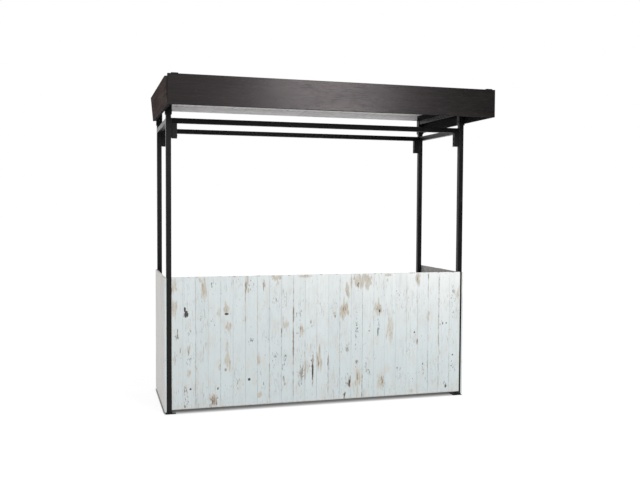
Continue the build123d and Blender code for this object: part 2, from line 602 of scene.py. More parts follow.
@dataclass(frozen=True)
class PowderCoat:
    """Black coating on the steel, a little scuffed, with dust near the floor."""

    name: str
    colour: Colour = srgb(15, 15, 16)
    rubbed: Colour = srgb(20, 20, 21)
    scratch: Colour = srgb(70, 69, 68)
    dust: Colour = srgb(110, 106, 100)
    specular: float = 0.19
    roughness: float = 0.26
    roughness_spread: float = 0.1
    scratch_share: float = 0.15
    dust_share: float = 0.1
    dust_roughness: float = 0.2
    dust_reach: float = 0.16
    peel_strength: float = 0.12
    peel_depth: float = 0.2 * MM

    def material(self, effects: SharedEffects) -> Material:
        """Builds the material.

        Args:
            effects: the shared shader groups.

        Returns:
            The material.
        """
        material, graph, shader = start_material(self.name)
        position = graph.position()
        cloud = graph.noise(position, 14, 4, 0.6)
        scuff = graph.place(effects.scuffs, vector=position)["Mask"]
        dust = graph.place(effects.dust, vector=position, reach=self.dust_reach)["Mask"]
        colour = graph.mix(graph.step(cloud, 0.4, 0.75), self.colour, self.rubbed)
        colour = graph.mix(graph.times(scuff, self.scratch_share), colour, self.scratch)
        colour = graph.mix(graph.times(dust, self.dust_share), colour, self.dust)
        rough = graph.step(cloud, 0.3, 0.7, self.roughness, self.roughness + self.roughness_spread)
        rough = graph.sum("ADD", rough, graph.times(dust, self.dust_roughness))
        normal = graph.bump(graph.noise(position, 900), self.peel_strength, self.peel_depth)
        graph.surface(shader, colour, rough, normal, self.specular)
        return material


@dataclass(frozen=True)
class Fastener:
    """Metal of bolts and screws, dulled unevenly."""

    name: str
    colour: Colour
    dulled: Colour
    roughness: float = 0.42
    roughness_spread: float = 0.18
    metallic: float = 0.8

    def material(self, effects: SharedEffects) -> Material:
        """Builds the material.

        Args:
            effects: the shared shader groups.

        Returns:
            The material.
        """
        material, graph, shader = start_material(self.name)
        position = graph.position()
        cloud = graph.noise(position, 130, 3, 0.6)
        scuff = graph.place(effects.scuffs, vector=position)["Mask"]
        dulled = graph.sum("MAXIMUM", graph.step(cloud, 0.42, 0.66), scuff)
        rough = graph.step(dulled, 0, 1, self.roughness, self.roughness + self.roughness_spread)
        graph.feed(shader.inputs["Base Color"], graph.mix(dulled, self.colour, self.dulled))
        graph.feed(shader.inputs["Roughness"], rough)
        graph.feed(shader.inputs["Metallic"], self.metallic)
        return material


@dataclass(frozen=True)
class Whitewash:
    """Thin bluish white paint on upright boards, worn through in patches and along the seams, with painted
    light that brightens it towards the top and the right and painted shade in the seams.

    It takes the row's direction, start, pitch, length, bottom and top, then its colours and their shares.
    """

    name: str
    across: Axis
    start: float
    pitch: float
    length: float
    bottom: float
    top: float
    # painted light: the paint colour runs from the first colour below, its look in painted shade at the
    # bottom left, to the second, its look in painted light at the top right
    dull: Colour = srgb(209, 218, 220)
    lit_paint: Colour = srgb(238, 241, 240)
    thin: Colour = srgb(190, 196, 196)
    fleck_share: float = 0.8
    tan: Colour = srgb(186, 168, 143)
    pale_tan: Colour = srgb(199, 195, 185)
    brown: Colour = srgb(146, 117, 92)
    grey_brown: Colour = srgb(140, 130, 120)
    haze: Colour = srgb(205, 203, 195)
    fleck: Colour = srgb(74, 67, 61)
    dark: Colour = srgb(47, 40, 36)
    # colour of the line in the seams: grime, and painted shade in the gaps between boards
    seam: Colour = srgb(113, 117, 118)
    dust: Colour = srgb(178, 172, 163)
    dust_reach: float = 0.2
    dust_share: float = 0.16
    tan_share: float = 0.8
    dark_share: float = 0.93
    seam_stain_share: float = 0.75
    specular: float = 0.3
    roughness: float = 0.55
    bare_roughness: float = 0.82
    relief_share: float = 0.5
    bump_strength: float = 0.45
    bump_depth: float = 0.5 * MM

    def material(self, effects: SharedEffects) -> Material:
        """Builds the material.

        Args:
            effects: the shared shader groups.

        Returns:
            The material.
        """
        material, graph, shader = start_material(self.name)
        position = graph.position()
        across = graph.add("SeparateXYZ", {0: position}).outputs[self.across.value]
        rows = graph.place(effects.rows, across=across, start=self.start, pitch=self.pitch)
        grain = graph.place(effects.grain, vector=position)
        wear = graph.add("Attribute", attribute_name="wear").outputs
        worn = graph.add("SeparateColor", {0: wear["Color"]}).outputs
        seam_stain_and_shade = graph.add("Attribute", attribute_name="seam_stain_and_shade").outputs["Fac"]
        masks = self._worn_masks(graph, position, worn)
        colour = self._paint(graph, rows, grain, position)
        colour = self._flecks(graph, position, wear["Alpha"], colour)
        wood = graph.mix(graph.step(grain["Streak"], 0.4, 0.62), self.pale_tan, self.tan)
        mottle = graph.grained(position, 0.2, 140, 3, 0.65)
        wood = graph.mix(graph.step(mottle, 0.5, 0.68, 0, 0.65), wood, self.grey_brown)
        colour = graph.mix(graph.step(worn[Wear.TAN.value], 0, 0.7, 0, 0.65), colour, self.pale_tan)
        colour = graph.mix(graph.times(masks[Wear.TAN.value], self.tan_share), colour, wood)
        weathered = graph.mix(graph.step(grain["Streak"], 0.4, 0.6), self.grey_brown, self.brown)
        colour = graph.mix(masks[Wear.BROWN.value], colour, weathered)
        colour = self._seams(graph, rows, seam_stain_and_shade, position, colour)
        colour = graph.mix(graph.times(masks[Wear.DARK.value], self.dark_share), colour, self.dark)
        dust = graph.place(effects.dust, vector=position, reach=self.dust_reach)["Mask"]
        colour = graph.mix(graph.times(dust, self.dust_share), colour, self.dust)
        bare = graph.sum("MAXIMUM", masks[Wear.TAN.value], masks[Wear.BROWN.value])
        raised, lowered = (graph.times(height, self.relief_share) for height in (grain["Height"], bare))
        relief = graph.sum("SUBTRACT", raised, lowered)
        normal = graph.bump(relief, self.bump_strength, self.bump_depth)
        rough = graph.step(bare, 0, 1, self.roughness, self.bare_roughness)
        graph.surface(shader, colour, rough, normal, self.specular)
        return material

    @staticmethod
    def _worn_masks(graph: Graph, position: NodeSocket, worn: object) -> list[NodeSocket]:
        """Breaks the soft edges of the worn places into streaks along the grain.

        Args:
            graph: the material's graph.
            position: coordinates of the piece.
            worn: one output for each kind of wear.

        Returns:
            A mask for each kind of wear.
        """
        streaks = graph.grained(position, 0.09, 150, 5, 0.68)
        blotches = graph.grained(position, 0.4, 48, 4, 0.62)
        dashes = graph.grained(position, 0.3, 170, 3, 0.62)
        breakup = graph.times(graph.sum("SUBTRACT", streaks, 0.5), 1.6)
        for layer, strength in ((blotches, 1.0), (dashes, 1.4)):
            part = graph.times(graph.sum("SUBTRACT", layer, 0.5), strength)
            breakup = graph.sum("ADD", breakup, part)
        residue = graph.step(graph.grained(position, 0.12, 260, 3, 0.6), 0.36, 0.56, 0.5, 1.0)
        masks = []
        for kind in (Wear.TAN, Wear.BROWN, Wear.DARK):
            layer = worn[kind.value]
            whole = kind is Wear.DARK
            ragged = graph.times(breakup, 0.35 if whole else 1.0)
            torn = graph.step(graph.sum("ADD", layer, ragged), 0.4, 0.6 if whole else 0.8)
            mask = graph.times(torn, graph.step(layer, 0.02, 0.2))
            masks.append(mask if whole else graph.times(mask, residue))
        return masks

    def _paint(self, graph: Graph, rows: dict, grain: dict, position: NodeSocket) -> NodeSocket:
        """Colour of the whitewash where it still covers the wood, with painted light: lighter towards the top
        and the right of the row, darker towards the bottom left.

        Args:
            graph: the material's graph.
            rows: outputs of the board rows.
            grain: outputs of the timber grain.
            position: coordinates of the piece.

        Returns:
            The paint's colour.
        """
        parts = graph.add("SeparateXYZ", {0: position}).outputs
        # painted light and shade: a share that grows up the boards and towards the right mixes the paint from
        # its shaded colour to its lit colour, with a small tone for each board
        up = graph.sum("DIVIDE", graph.sum("SUBTRACT", parts[2], self.bottom), self.top - self.bottom)
        side = graph.step(parts[self.across.value], self.start, self.start + self.length, 0.3, 1.0)
        lit_share = graph.times(graph.sum("POWER", up, 2.0), side)
        lit_share = graph.sum("ADD", lit_share, graph.step(rows["Warmth"], 0, 1, -0.06, 0.06))
        paint = graph.mix(lit_share, self.dull, self.lit_paint)
        cloud = graph.grained(position, 0.35, 11, 4, 0.6)
        paint = graph.mix(graph.step(cloud, 0.5, 0.8, 0, 0.4), paint, self.thin)
        paint = graph.mix(graph.step(rows["Tone"], 0, 1, 0, 0.08), paint, self.thin)
        paint = graph.mix(graph.step(grain["Streak"], 0.5, 0.75, 0, 0.3), paint, self.thin)
        paint = graph.mix(graph.times(grain["Pores"], 0.05), paint, self.grey_brown)
        haze = graph.step(graph.grained(position, 0.4, 19, 4, 0.6), 0.48, 0.72, 0, 0.55)
        # the painted shade's share, one less the painted light share: the haze patches are laid most where it
        # is deepest, so they deepen the painted shade
        stained = graph.sum("SUBTRACT", 1.0, graph.sum("MINIMUM", lit_share, 1.0))
        paint = graph.mix(graph.times(haze, stained), paint, self.haze)
        where = graph.step(graph.noise(position, 5), 0.44, 0.62)
        rubbed = graph.step(graph.grained(position, 0.1, 130, 4, 0.6), 0.55, 0.70, 0, 0.5)
        paint = graph.mix(graph.times(where, rubbed), paint, self.grey_brown)
        dashes = graph.grained(position, 0.09, 240, 3, 0.6)
        flecks = graph.step(dashes, 0.63, 0.72, 0, self.fleck_share)
        return graph.mix(graph.times(where, flecks), paint, self.brown)

    def _flecks(
        self, graph: Graph, position: NodeSocket, flecked: NodeSocket, colour: NodeSocket
    ) -> NodeSocket:
        """Adds clusters of short dark dashes where the paint is crazed.

        Args:
            graph: the material's graph.
            position: coordinates of the piece.
            flecked: how crazed the paint is.
            colour: colour of the boards so far.

        Returns:
            The colour with its flecks.
        """
        dashes = graph.grained(position, 0.27, 165, 3, 0.62)
        raised = graph.sum("ADD", dashes, graph.times(flecked, 0.15))
        depth = graph.step(graph.noise(position, 60), 0.35, 0.65, 0.4, 0.95)
        share = graph.times(graph.step(raised, 0.66, 0.74), depth)
        return graph.mix(share, colour, self.fleck)

    def _seams(
        self, graph: Graph, rows: dict, seam_stain_and_shade: NodeSocket, position: NodeSocket, colour: NodeSocket
    ) -> NodeSocket:
        """Adds grime and painted shade in the seams, and the stain beside the open ones.

        Args:
            graph: the material's graph.
            rows: outputs of the board rows.
            seam_stain_and_shade: strength of the nearest seam.
            position: coordinates of the piece.
            colour: colour of the boards so far.

        Returns:
            The colour with its seams.
        """
        broken = graph.grained(position, 0.5, 55, 4, 0.65)
        width = graph.step(seam_stain_and_shade, 0.4, 1.0, 1.0, 1.7)
        # the dark line in each seam is grime and painted shade in the gap
        line = graph.step(graph.sum("DIVIDE", rows["Seam"], width), 0.5 * MM, 1.9 * MM, 1, 0)
        depth = graph.times(seam_stain_and_shade, graph.step(broken, 0.25, 0.65, 0.3, 1))
        colour = graph.mix(graph.times(line, depth), colour, self.seam)
        beside = graph.step(rows["Seam"], 1 * MM, 8 * MM, 1, 0)
        opened = graph.step(seam_stain_and_shade, 0.3, 0.9)
        stain = graph.times(graph.times(beside, opened), graph.step(broken, 0.46, 0.64))
        return graph.mix(graph.times(stain, self.seam_stain_share), colour, self.brown)


@dataclass(frozen=True)
class BareBoard:
    """Unpainted weathered wood, with the grain along one direction and the row of boards across another."""

    name: str
    along: Axis
    across: Axis
    start: float
    pitch: float
    pale: Colour = srgb(186, 185, 183)
    deep: Colour = srgb(158, 156, 153)
    knots: Colour = srgb(112, 106, 100)
    scuffed: Colour = srgb(190, 190, 188)
    slant: float = 0.0
    seam_depth: float = 0.75
    pore_share: float = 0.25
    scuff_share: float = 0.5
    specular: float = 0.3
    bump_strength: float = 0.4
    bump_depth: float = 0.5 * MM

    def material(self, effects: SharedEffects) -> Material:
        """Builds the material.

        Args:
            effects: the shared shader groups.

        Returns:
            The material.
        """
        material, graph, shader = start_material(self.name)
        position = graph.position()
        parts = graph.add("SeparateXYZ", {0: position}).outputs
        across = graph.sum("SUBTRACT", parts[self.across.value], graph.times(parts[2], self.slant))
        rows = graph.place(effects.rows, across=across, start=self.start, pitch=self.pitch)
        turned = graph.along(self.along)
        grain = graph.place(effects.grain, vector=turned)
        colour = graph.mix(graph.step(grain["Streak"], 0.34, 0.66), self.pale, self.deep)
        colour = graph.mix(graph.step(rows["Tone"], 0, 1, 0, 0.35), colour, self.deep)
        colour = graph.mix(graph.times(grain["Pores"], self.pore_share), colour, self.knots)
        scuff = graph.step(graph.grained(turned, 0.3, 26, 5, 0.65), 0.55, 0.72)
        colour = graph.mix(graph.times(scuff, self.scuff_share), colour, self.scuffed)
        line = graph.step(rows["Seam"], 0.6 * MM, 2.2 * MM, self.seam_depth, 0)
        colour = graph.mix(line, colour, self.knots)
        rough = graph.step(grain["Streak"], 0.3, 0.7, 0.66, 0.8)
        normal = graph.bump(grain["Height"], self.bump_strength, self.bump_depth)
        graph.surface(shader, colour, rough, normal, self.specular)
        return material


@dataclass(frozen=True)
class DarkStain:
    """Nearly black brown stain with a satin sheen, grain showing through."""

    name: str
    along: Axis
    deep: Colour = srgb(20, 18, 18)
    brown: Colour = srgb(30, 26, 26)
    pores: Colour = srgb(13, 12, 12)
    scratch: Colour = srgb(100, 95, 91)
    sheen: Colour = (1.0, 0.9, 0.92, 1.0)
    specular: float = 0.26
    roughness: float = 0.21
    roughness_spread: float = 0.05
    worn_roughness: float = 0.1
    pore_share: float = 0.5
    scratch_share: float = 0.18
    bump_strength: float = 0.3
    bump_depth: float = 0.35 * MM

    def material(self, effects: SharedEffects) -> Material:
        """Builds the material.

        Args:
            effects: the shared shader groups.

        Returns:
            The material.
        """
        material, graph, shader = start_material(self.name)
        turned = graph.along(self.along)
        grain = graph.place(effects.grain, vector=turned)
        scuff = graph.place(effects.scuffs, vector=turned)["Mask"]
        colour = graph.mix(graph.step(grain["Streak"], 0.34, 0.68), self.deep, self.brown)
        colour = graph.mix(graph.times(grain["Pores"], self.pore_share), colour, self.pores)
        colour = graph.mix(graph.times(scuff, self.scratch_share), colour, self.scratch)
        cloud = graph.grained(turned, 0.2, 9, 3, 0.55)
        rough = graph.step(cloud, 0.35, 0.68, self.roughness, self.roughness + self.roughness_spread)
        for worn in (scuff, grain["Pores"]):
            rough = graph.sum("ADD", rough, graph.times(worn, self.worn_roughness))
        normal = graph.bump(grain["Height"], self.bump_strength, self.bump_depth)
        graph.surface(shader, colour, rough, normal, self.specular)
        graph.feed(shader.inputs["Specular Tint"], self.sheen)
        return material


@dataclass(frozen=True)
class Streak:
    """One streak of a worn place: its middle, from the place's own middle, and its half sizes.

    All are in millimetres.
    """

    aside: float
    above: float
    half_width: float
    half_height: float

    def cover(self, aside: np.ndarray, above: np.ndarray) -> np.ndarray:
        """Soft cover of this streak.

        Args:
            aside: sideways place of each point.
            above: upward place of each point.

        Returns:
            One in the middle of the streak, falling to nought around it.
        """
        end, fade = 1.55, 1.1
        sideways = (aside - self.aside) / self.half_width
        upward = (above - self.above) / self.half_height
        return np.clip((end - np.hypot(sideways, upward)) / fade, 0, 1)


@dataclass(frozen=True)
class WearSpot:
    """One worn place on the boarding.

    Args:
        kind: what shows there.
        board: number of the board, from the left.
        across: place across that board, as a share, with 1 on the seam to the next board.
        height: place up the board, as a share.
        wide: width in millimetres.
        tall: height in millimetres.
        strength: how far the paint is gone, up to 1.
        slant: sideways run for each millimetre up.
    """

    kind: Wear
    board: int
    across: float
    height: float
    wide: float
    tall: float
    strength: float = 1.0
    slant: float = 0.0

    def streaks(self, draw: random.Random) -> list[Streak]:
        """Splits a place into uneven streaks along the grain, or keeps it whole where it is small.

        Args:
            draw: the random draw.

        Returns:
            The streaks.
        """
        narrowest, widest, pitch = 4.0, 6.5, 6
        fewest, shortest = 3, 30
        spread, jitter, rise, flattest = 0.86, 1.5, 0.3, 0.3
        count = round(self.wide / pitch)
        if count < fewest or self.tall < shortest:
            return [Streak(0, 0, max(self.wide / 2, narrowest), max(self.tall / 2, narrowest))]
        found = []
        for number in range(count):
            middle = ((number + 0.5) / count - 0.5) * self.wide * spread
            aside = middle + draw.uniform(-jitter, jitter)
            bulge = 1 - (2 * aside / self.wide) ** 2
            half_height = self.tall / 2 * draw.uniform(0.45, 1.0) * max(bulge, flattest)
            above = draw.uniform(-rise, rise) * self.tall
            found.append(Streak(aside, above, draw.uniform(narrowest, widest), half_height))
        return found


@dataclass(frozen=True)
class SeamStain:
    """A stretch of an open seam, with grime and painted shade in it and a stain beside it.

    Args:
        board: number of the board on its left.
        low: its lower end, as a share of the height.
        high: its upper end, as a share of the height.
        strength: how dark it is, up to 1.
    """

    board: int
    low: float
    high: float
    strength: float


TAN, BROWN, DARK, FLECKS = Wear

# Worn places of the front: kind, board, across, height, wide, tall, strength and slant.
FRONT_SPOTS = tuple(WearSpot(*row) for row in (
    (TAN, 1, 0.33, 0.94, 40, 95, 0.8),
    (TAN, 1, 0.30, 0.755, 50, 105),
    (TAN, 3, 0.62, 0.925, 46, 155, 1.0, -0.1),
    (TAN, 5, 0.45, 0.758, 44, 80),
    (TAN, 4, 0.88, 0.728, 30, 70, 0.7),
    (TAN, 5, 0.62, 0.62, 42, 62),
    (TAN, 5, 0.52, 0.47, 15, 90, 0.7),
    (TAN, 5, 0.58, 0.335, 48, 105),
    (BROWN, 5, 0.40, 0.284, 20, 25),
    (TAN, 4, 0.95, 0.30, 25, 60, 0.7),
    (TAN, 2, 0.46, 0.44, 20, 100, 0.7),
    (BROWN, 2, 0.46, 0.44, 9, 80, 0.75),
    (TAN, 2, 0.46, 0.283, 20, 90, 0.8),
    (BROWN, 2, 0.46, 0.283, 9, 60, 0.75),
    (BROWN, 4, 0.42, 0.045, 66, 90),
    (TAN, 4, 0.42, 0.06, 66, 90, 0.5),
    (BROWN, 2, 0.20, 0.125, 40, 90, 0.55),
    (BROWN, 2, 0.17, 0.02, 20, 25),
    (TAN, 8, 0.55, 0.94, 20, 100, 0.7),
    (BROWN, 8, 0.50, 0.92, 10, 65),
    (TAN, 9, 0.60, 0.982, 86, 40),
    (TAN, 9, 0.65, 0.94, 20, 40, 0.7),
    (TAN, 11, 1.0, 0.988, 95, 18, 0.85),
    (TAN, 7, 0.14, 0.93, 24, 150, 0.9),
    (BROWN, 7, 0.08, 0.93, 9, 120, 0.8),
    (TAN, 8, 0.10, 0.36, 20, 110, 0.9),
    (TAN, 8, 0.20, 0.07, 30, 45),
    (BROWN, 10, 0.25, 0.16, 20, 110, 0.75),
    (BROWN, 11, 0.65, 0.576, 18, 60, 0.8),
    (TAN, 13, 0.20, 0.33, 50, 160),
    (BROWN, 13, 0.13, 0.31, 20, 90, 0.75),
    (BROWN, 9, 1.0, 0.55, 9, 90, 0.7),
    (BROWN, 10, 1.0, 0.46, 11, 240, 0.9),
    (BROWN, 10, 1.0, 0.68, 9, 170, 0.85),
    (BROWN, 10, 1.0, 0.14, 8, 120, 0.6),
    (BROWN, 23, 1.0, 0.88, 9, 130, 0.75),
    (BROWN, 16, 1.0, 0.15, 8, 190, 0.7),
    (TAN, 15, 1.0, 0.93, 12, 100, 0.75),
    (TAN, 11, 0.72, 0.56, 32, 90, 0.7),
    (BROWN, 12, 0.48, 0.62, 14, 60, 0.65),
    (TAN, 10, 0.15, 0.62, 16, 110, 0.7),
    (BROWN, 9, 0.57, 0.80, 8, 55, 0.8),
    (TAN, 10, 0.40, 0.60, 42, 70, 0.75),
    (BROWN, 11, 0.70, 0.24, 42, 160, 0.75),
    (TAN, 12, 0.15, 0.27, 44, 130, 0.6),
    (BROWN, 11, 1.0, 0.22, 12, 150, 0.9),
    (TAN, 16, 1.0, 0.945, 165, 105),
    (TAN, 17, 0.40, 0.893, 35, 42),
    (BROWN, 16, 0.60, 0.913, 22, 40),
    (TAN, 19, 0.20, 0.986, 60, 20),
    (TAN, 19, 0.20, 0.945, 12, 25, 0.8),
    (TAN, 15, 0.65, 0.856, 30, 120),
    (BROWN, 15, 0.62, 0.85, 11, 70, 0.9),
    (TAN, 15, 0.40, 0.72, 74, 130, 1.0),
    (BROWN, 15, 0.38, 0.73, 26, 60, 0.75),
    (TAN, 18, 0.38, 0.724, 66, 105),
    (BROWN, 18, 0.42, 0.71, 30, 45, 0.85),
    (TAN, 14, 0.58, 0.672, 20, 60),
    (BROWN, 14, 0.58, 0.665, 9, 35, 0.8),
    (TAN, 19, 0.45, 0.538, 62, 220, 0.66),
    (TAN, 21, 1.0, 0.95, 46, 95, 0.9),
    (BROWN, 21, 0.95, 0.95, 9, 60, 0.7),
    (TAN, 22, 1.0, 0.64, 25, 85, 0.7),
    (BROWN, 22, 1.0, 0.97, 10, 60),
    (TAN, 16, 0.60, 0.146, 40, 190),
    (BROWN, 16, 0.58, 0.17, 13, 90, 0.85),
    (BROWN, 16, 0.48, 0.283, 18, 50, 0.9),
    (BROWN, 16, 1.0, 0.03, 12, 60),
    (TAN, 18, 0.70, 0.135, 66, 130, 0.7),
    (BROWN, 18, 0.80, 0.13, 30, 70, 0.7),
    (BROWN, 21, 1.0, 0.43, 10, 60),
    (TAN, 21, 0.50, 0.03, 25, 25),
    (BROWN, 15, 0.45, 0.035, 16, 60),
    (DARK, 15, 0.45, 0.03, 10, 40, 0.7),
    (BROWN, 13, 1.0, 0.30, 12, 100),
    (BROWN, 15, 0.87, 0.142, 22, 90),
    (BROWN, 15, 0.65, 0.41, 15, 60, 0.6),
    (TAN, 25, 0.80, 0.82, 26, 150, 0.7),
    (DARK, 2, 0.16, 0.755, 14, 34),
    (DARK, 2, 0.20, 0.715, 14, 40),
    (DARK, 2, 0.36, 0.715, 14, 32),
    (DARK, 2, 0.28, 0.738, 20, 12),
    (DARK, 5, 0.48, 0.712, 32, 15),
    (DARK, 7, 0.33, 0.20, 19, 19),
    (DARK, 2, 0.60, 0.15, 17, 17, 0.9),
    (DARK, 4, 0.78, 0.143, 10, 22, 0.9),
    (DARK, 4, 0.36, 0.035, 11, 46, 0.8),
    (DARK, 7, 0.55, 0.50, 14, 14, 0.7),
    (BROWN, 12, 0.67, 0.25, 14, 270),
    (DARK, 12, 0.67, 0.24, 11, 110),
    (DARK, 1, 0.58, 0.575, 8, 80, 0.6),
    (DARK, 1, 0.80, 0.446, 8, 50, 0.6),
    (BROWN, 1, 0.38, 0.386, 12, 80, 0.8),
    (DARK, 18, 0.40, 0.53, 8, 95, 0.85),
    (DARK, 18, 0.52, 0.695, 12, 18),
    (DARK, 21, 0.73, 0.511, 14, 14, 0.9),
    (DARK, 16, 0.48, 0.585, 9, 14, 0.8),
    (DARK, 16, 0.56, 0.562, 8, 14, 0.8),
    (DARK, 17, 0.60, 0.537, 10, 10, 0.9),
    (DARK, 24, 0.38, 0.577, 11, 24, 0.8),
    (DARK, 24, 0.71, 0.577, 11, 16, 0.8),
    (DARK, 25, 0.33, 0.31, 13, 13, 0.9),
    (DARK, 25, 0.24, 0.22, 16, 14, 0.7),
    (BROWN, 24, 0.71, 0.05, 18, 42),
    (DARK, 24, 0.71, 0.05, 11, 30, 0.8),
    (DARK, 22, 0.55, 0.25, 9, 25, 0.7),
    (DARK, 15, 0.88, 0.13, 11, 60, 0.75),
    (FLECKS, 1, 0.55, 0.56, 28, 110, 1.0),
    (FLECKS, 1, 0.40, 0.40, 45, 80, 0.9),
    (FLECKS, 2, 0.50, 0.58, 34, 85, 1.0),
    (FLECKS, 2, 0.45, 0.37, 30, 200, 0.7),
    (FLECKS, 2, 0.30, 0.09, 50, 140, 0.8),
    (FLECKS, 2, 0.24, 0.73, 50, 90, 0.9),
    (FLECKS, 3, 0.42, 0.69, 40, 70, 0.7),
    (FLECKS, 3, 0.60, 0.57, 60, 80, 0.6),
    (FLECKS, 3, 0.45, 0.84, 45, 50, 0.6),
    (FLECKS, 4, 0.35, 0.65, 60, 90, 0.7),
    (FLECKS, 4, 0.45, 0.95, 50, 70, 0.7),
    (FLECKS, 6, 0.30, 0.18, 50, 130, 0.8),
    (FLECKS, 6, 0.45, 0.80, 60, 50, 0.5),
    (FLECKS, 7, 0.48, 0.50, 35, 80, 1.0),
    (FLECKS, 7, 0.45, 0.92, 62, 110, 0.7),
    (FLECKS, 8, 0.60, 0.12, 55, 120, 0.6),
    (FLECKS, 9, 0.40, 0.81, 52, 80, 0.8),
    (FLECKS, 9, 0.40, 0.35, 55, 110, 0.8),
    (FLECKS, 9, 0.40, 0.13, 48, 90, 0.7),
    (FLECKS, 10, 0.30, 0.32, 55, 130, 0.9),
    (FLECKS, 10, 0.25, 0.82, 40, 100, 0.6),
    (FLECKS, 11, 0.48, 0.70, 45, 80, 0.8),
    (FLECKS, 11, 0.55, 0.56, 50, 100, 0.7),
    (FLECKS, 11, 0.60, 0.22, 60, 190, 0.8),
    (FLECKS, 12, 0.50, 0.60, 50, 80, 0.8),
    (FLECKS, 12, 0.55, 0.28, 40, 200, 0.7),
    (FLECKS, 13, 0.45, 0.32, 50, 120, 0.6),
    (FLECKS, 14, 0.40, 0.74, 50, 90, 0.6),
    (FLECKS, 15, 0.70, 0.40, 45, 100, 0.9),
    (FLECKS, 15, 0.42, 0.71, 62, 120, 0.8),
    (FLECKS, 15, 0.75, 0.14, 50, 130, 0.8),
    (FLECKS, 16, 0.50, 0.52, 42, 180, 1.0),
    (FLECKS, 16, 0.50, 0.27, 36, 80, 0.7),
    (FLECKS, 17, 0.48, 0.25, 50, 180, 0.7),
    (FLECKS, 18, 0.70, 0.125, 58, 160, 0.9),
    (FLECKS, 18, 0.45, 0.60, 40, 120, 0.7),
    (FLECKS, 20, 0.25, 0.82, 48, 90, 0.7),
    (FLECKS, 20, 0.35, 0.19, 55, 80, 0.7),
    (FLECKS, 21, 0.80, 0.43, 35, 100, 0.8),
    (FLECKS, 21, 0.20, 0.36, 36, 70, 0.7),
    (FLECKS, 22, 0.65, 0.19, 50, 140, 0.8),
    (FLECKS, 24, 0.30, 0.58, 35, 60, 0.8),
    (FLECKS, 24, 0.65, 0.06, 45, 80, 0.8),
    (FLECKS, 25, 0.38, 0.82, 50, 140, 1.0),
    (FLECKS, 25, 0.35, 0.66, 45, 80, 0.7),
    (FLECKS, 25, 0.40, 0.22, 60, 90, 0.9),
))

# Open seams of the front: board, low, high and strength.
FRONT_SEAMS = tuple(SeamStain(*row) for row in (
    (2, 0.0, 0.55, 0.57),
    (2, 0.55, 1.0, 0.45),
    (4, 0.0, 0.6, 0.45),
    (4, 0.6, 1.0, 0.35),
    (5, 0.0, 0.5, 0.35),
    (6, 0.77, 1.0, 0.9),
    (6, 0.55, 0.77, 0.6),
    (6, 0.0, 0.55, 0.35),
    (7, 0.0, 1.0, 0.42),
    (8, 0.0, 0.35, 0.65),
    (8, 0.35, 1.0, 0.4),
    (9, 0.3, 0.6, 0.5),
    (9, 0.0, 1.0, 0.35),
    (10, 0.3, 0.6, 0.97),
    (10, 0.6, 0.8, 0.8),
    (10, 0.0, 1.0, 0.65),
    (11, 0.0, 0.5, 0.55),
    (11, 0.5, 1.0, 0.35),
    (12, 0.0, 0.75, 0.45),
    (13, 0.0, 0.4, 0.65),
    (14, 0.0, 1.0, 0.52),
    (15, 0.33, 0.6, 0.45),
    (15, 0.8, 1.0, 0.4),
    (16, 0.55, 0.8, 0.6),
    (16, 0.0, 1.0, 0.45),
    (17, 0.55, 1.0, 0.4),
    (18, 0.0, 0.3, 0.4),
    (18, 0.8, 1.0, 0.4),
    (20, 0.8, 1.0, 0.4),
    (21, 0.2, 1.0, 0.35),
    (22, 0.0, 0.4, 0.65),
    (22, 0.4, 0.75, 0.45),
    (22, 0.75, 1.0, 0.65),
    (23, 0.0, 0.35, 0.6),
    (23, 0.35, 1.0, 0.72),
    (24, 0.0, 0.35, 0.5),
    (24, 0.35, 1.0, 0.35),
))


def scattered_spots(boards: int, count: int, seed: int) -> tuple[WearSpot, ...]:
    """Chooses wear for a side that has few marks of its own.

    Args:
        boards: number of boards on that side.
        count: number of marks.
        seed: start of the random draw.

    Returns:
        The marks.
    """
    weights = {TAN: 5, BROWN: 5, DARK: 2}
    sizes = {TAN: (32, 85), BROWN: (15, 80), DARK: (11, 18)}
    draw = random.Random(seed)
    spots = []
    for _ in range(count):
        kind = draw.choices(tuple(weights), weights=tuple(weights.values()))[0]
        wide, tall = (side * draw.uniform(0.6, 1.3) for side in sizes[kind])
        place = draw.randint(1, boards), draw.uniform(0.15, 0.85), draw.uniform(0.02, 0.98)
        spots.append(WearSpot(kind, *place, wide, tall, draw.uniform(0.6, 1.0)))
    return tuple(spots)


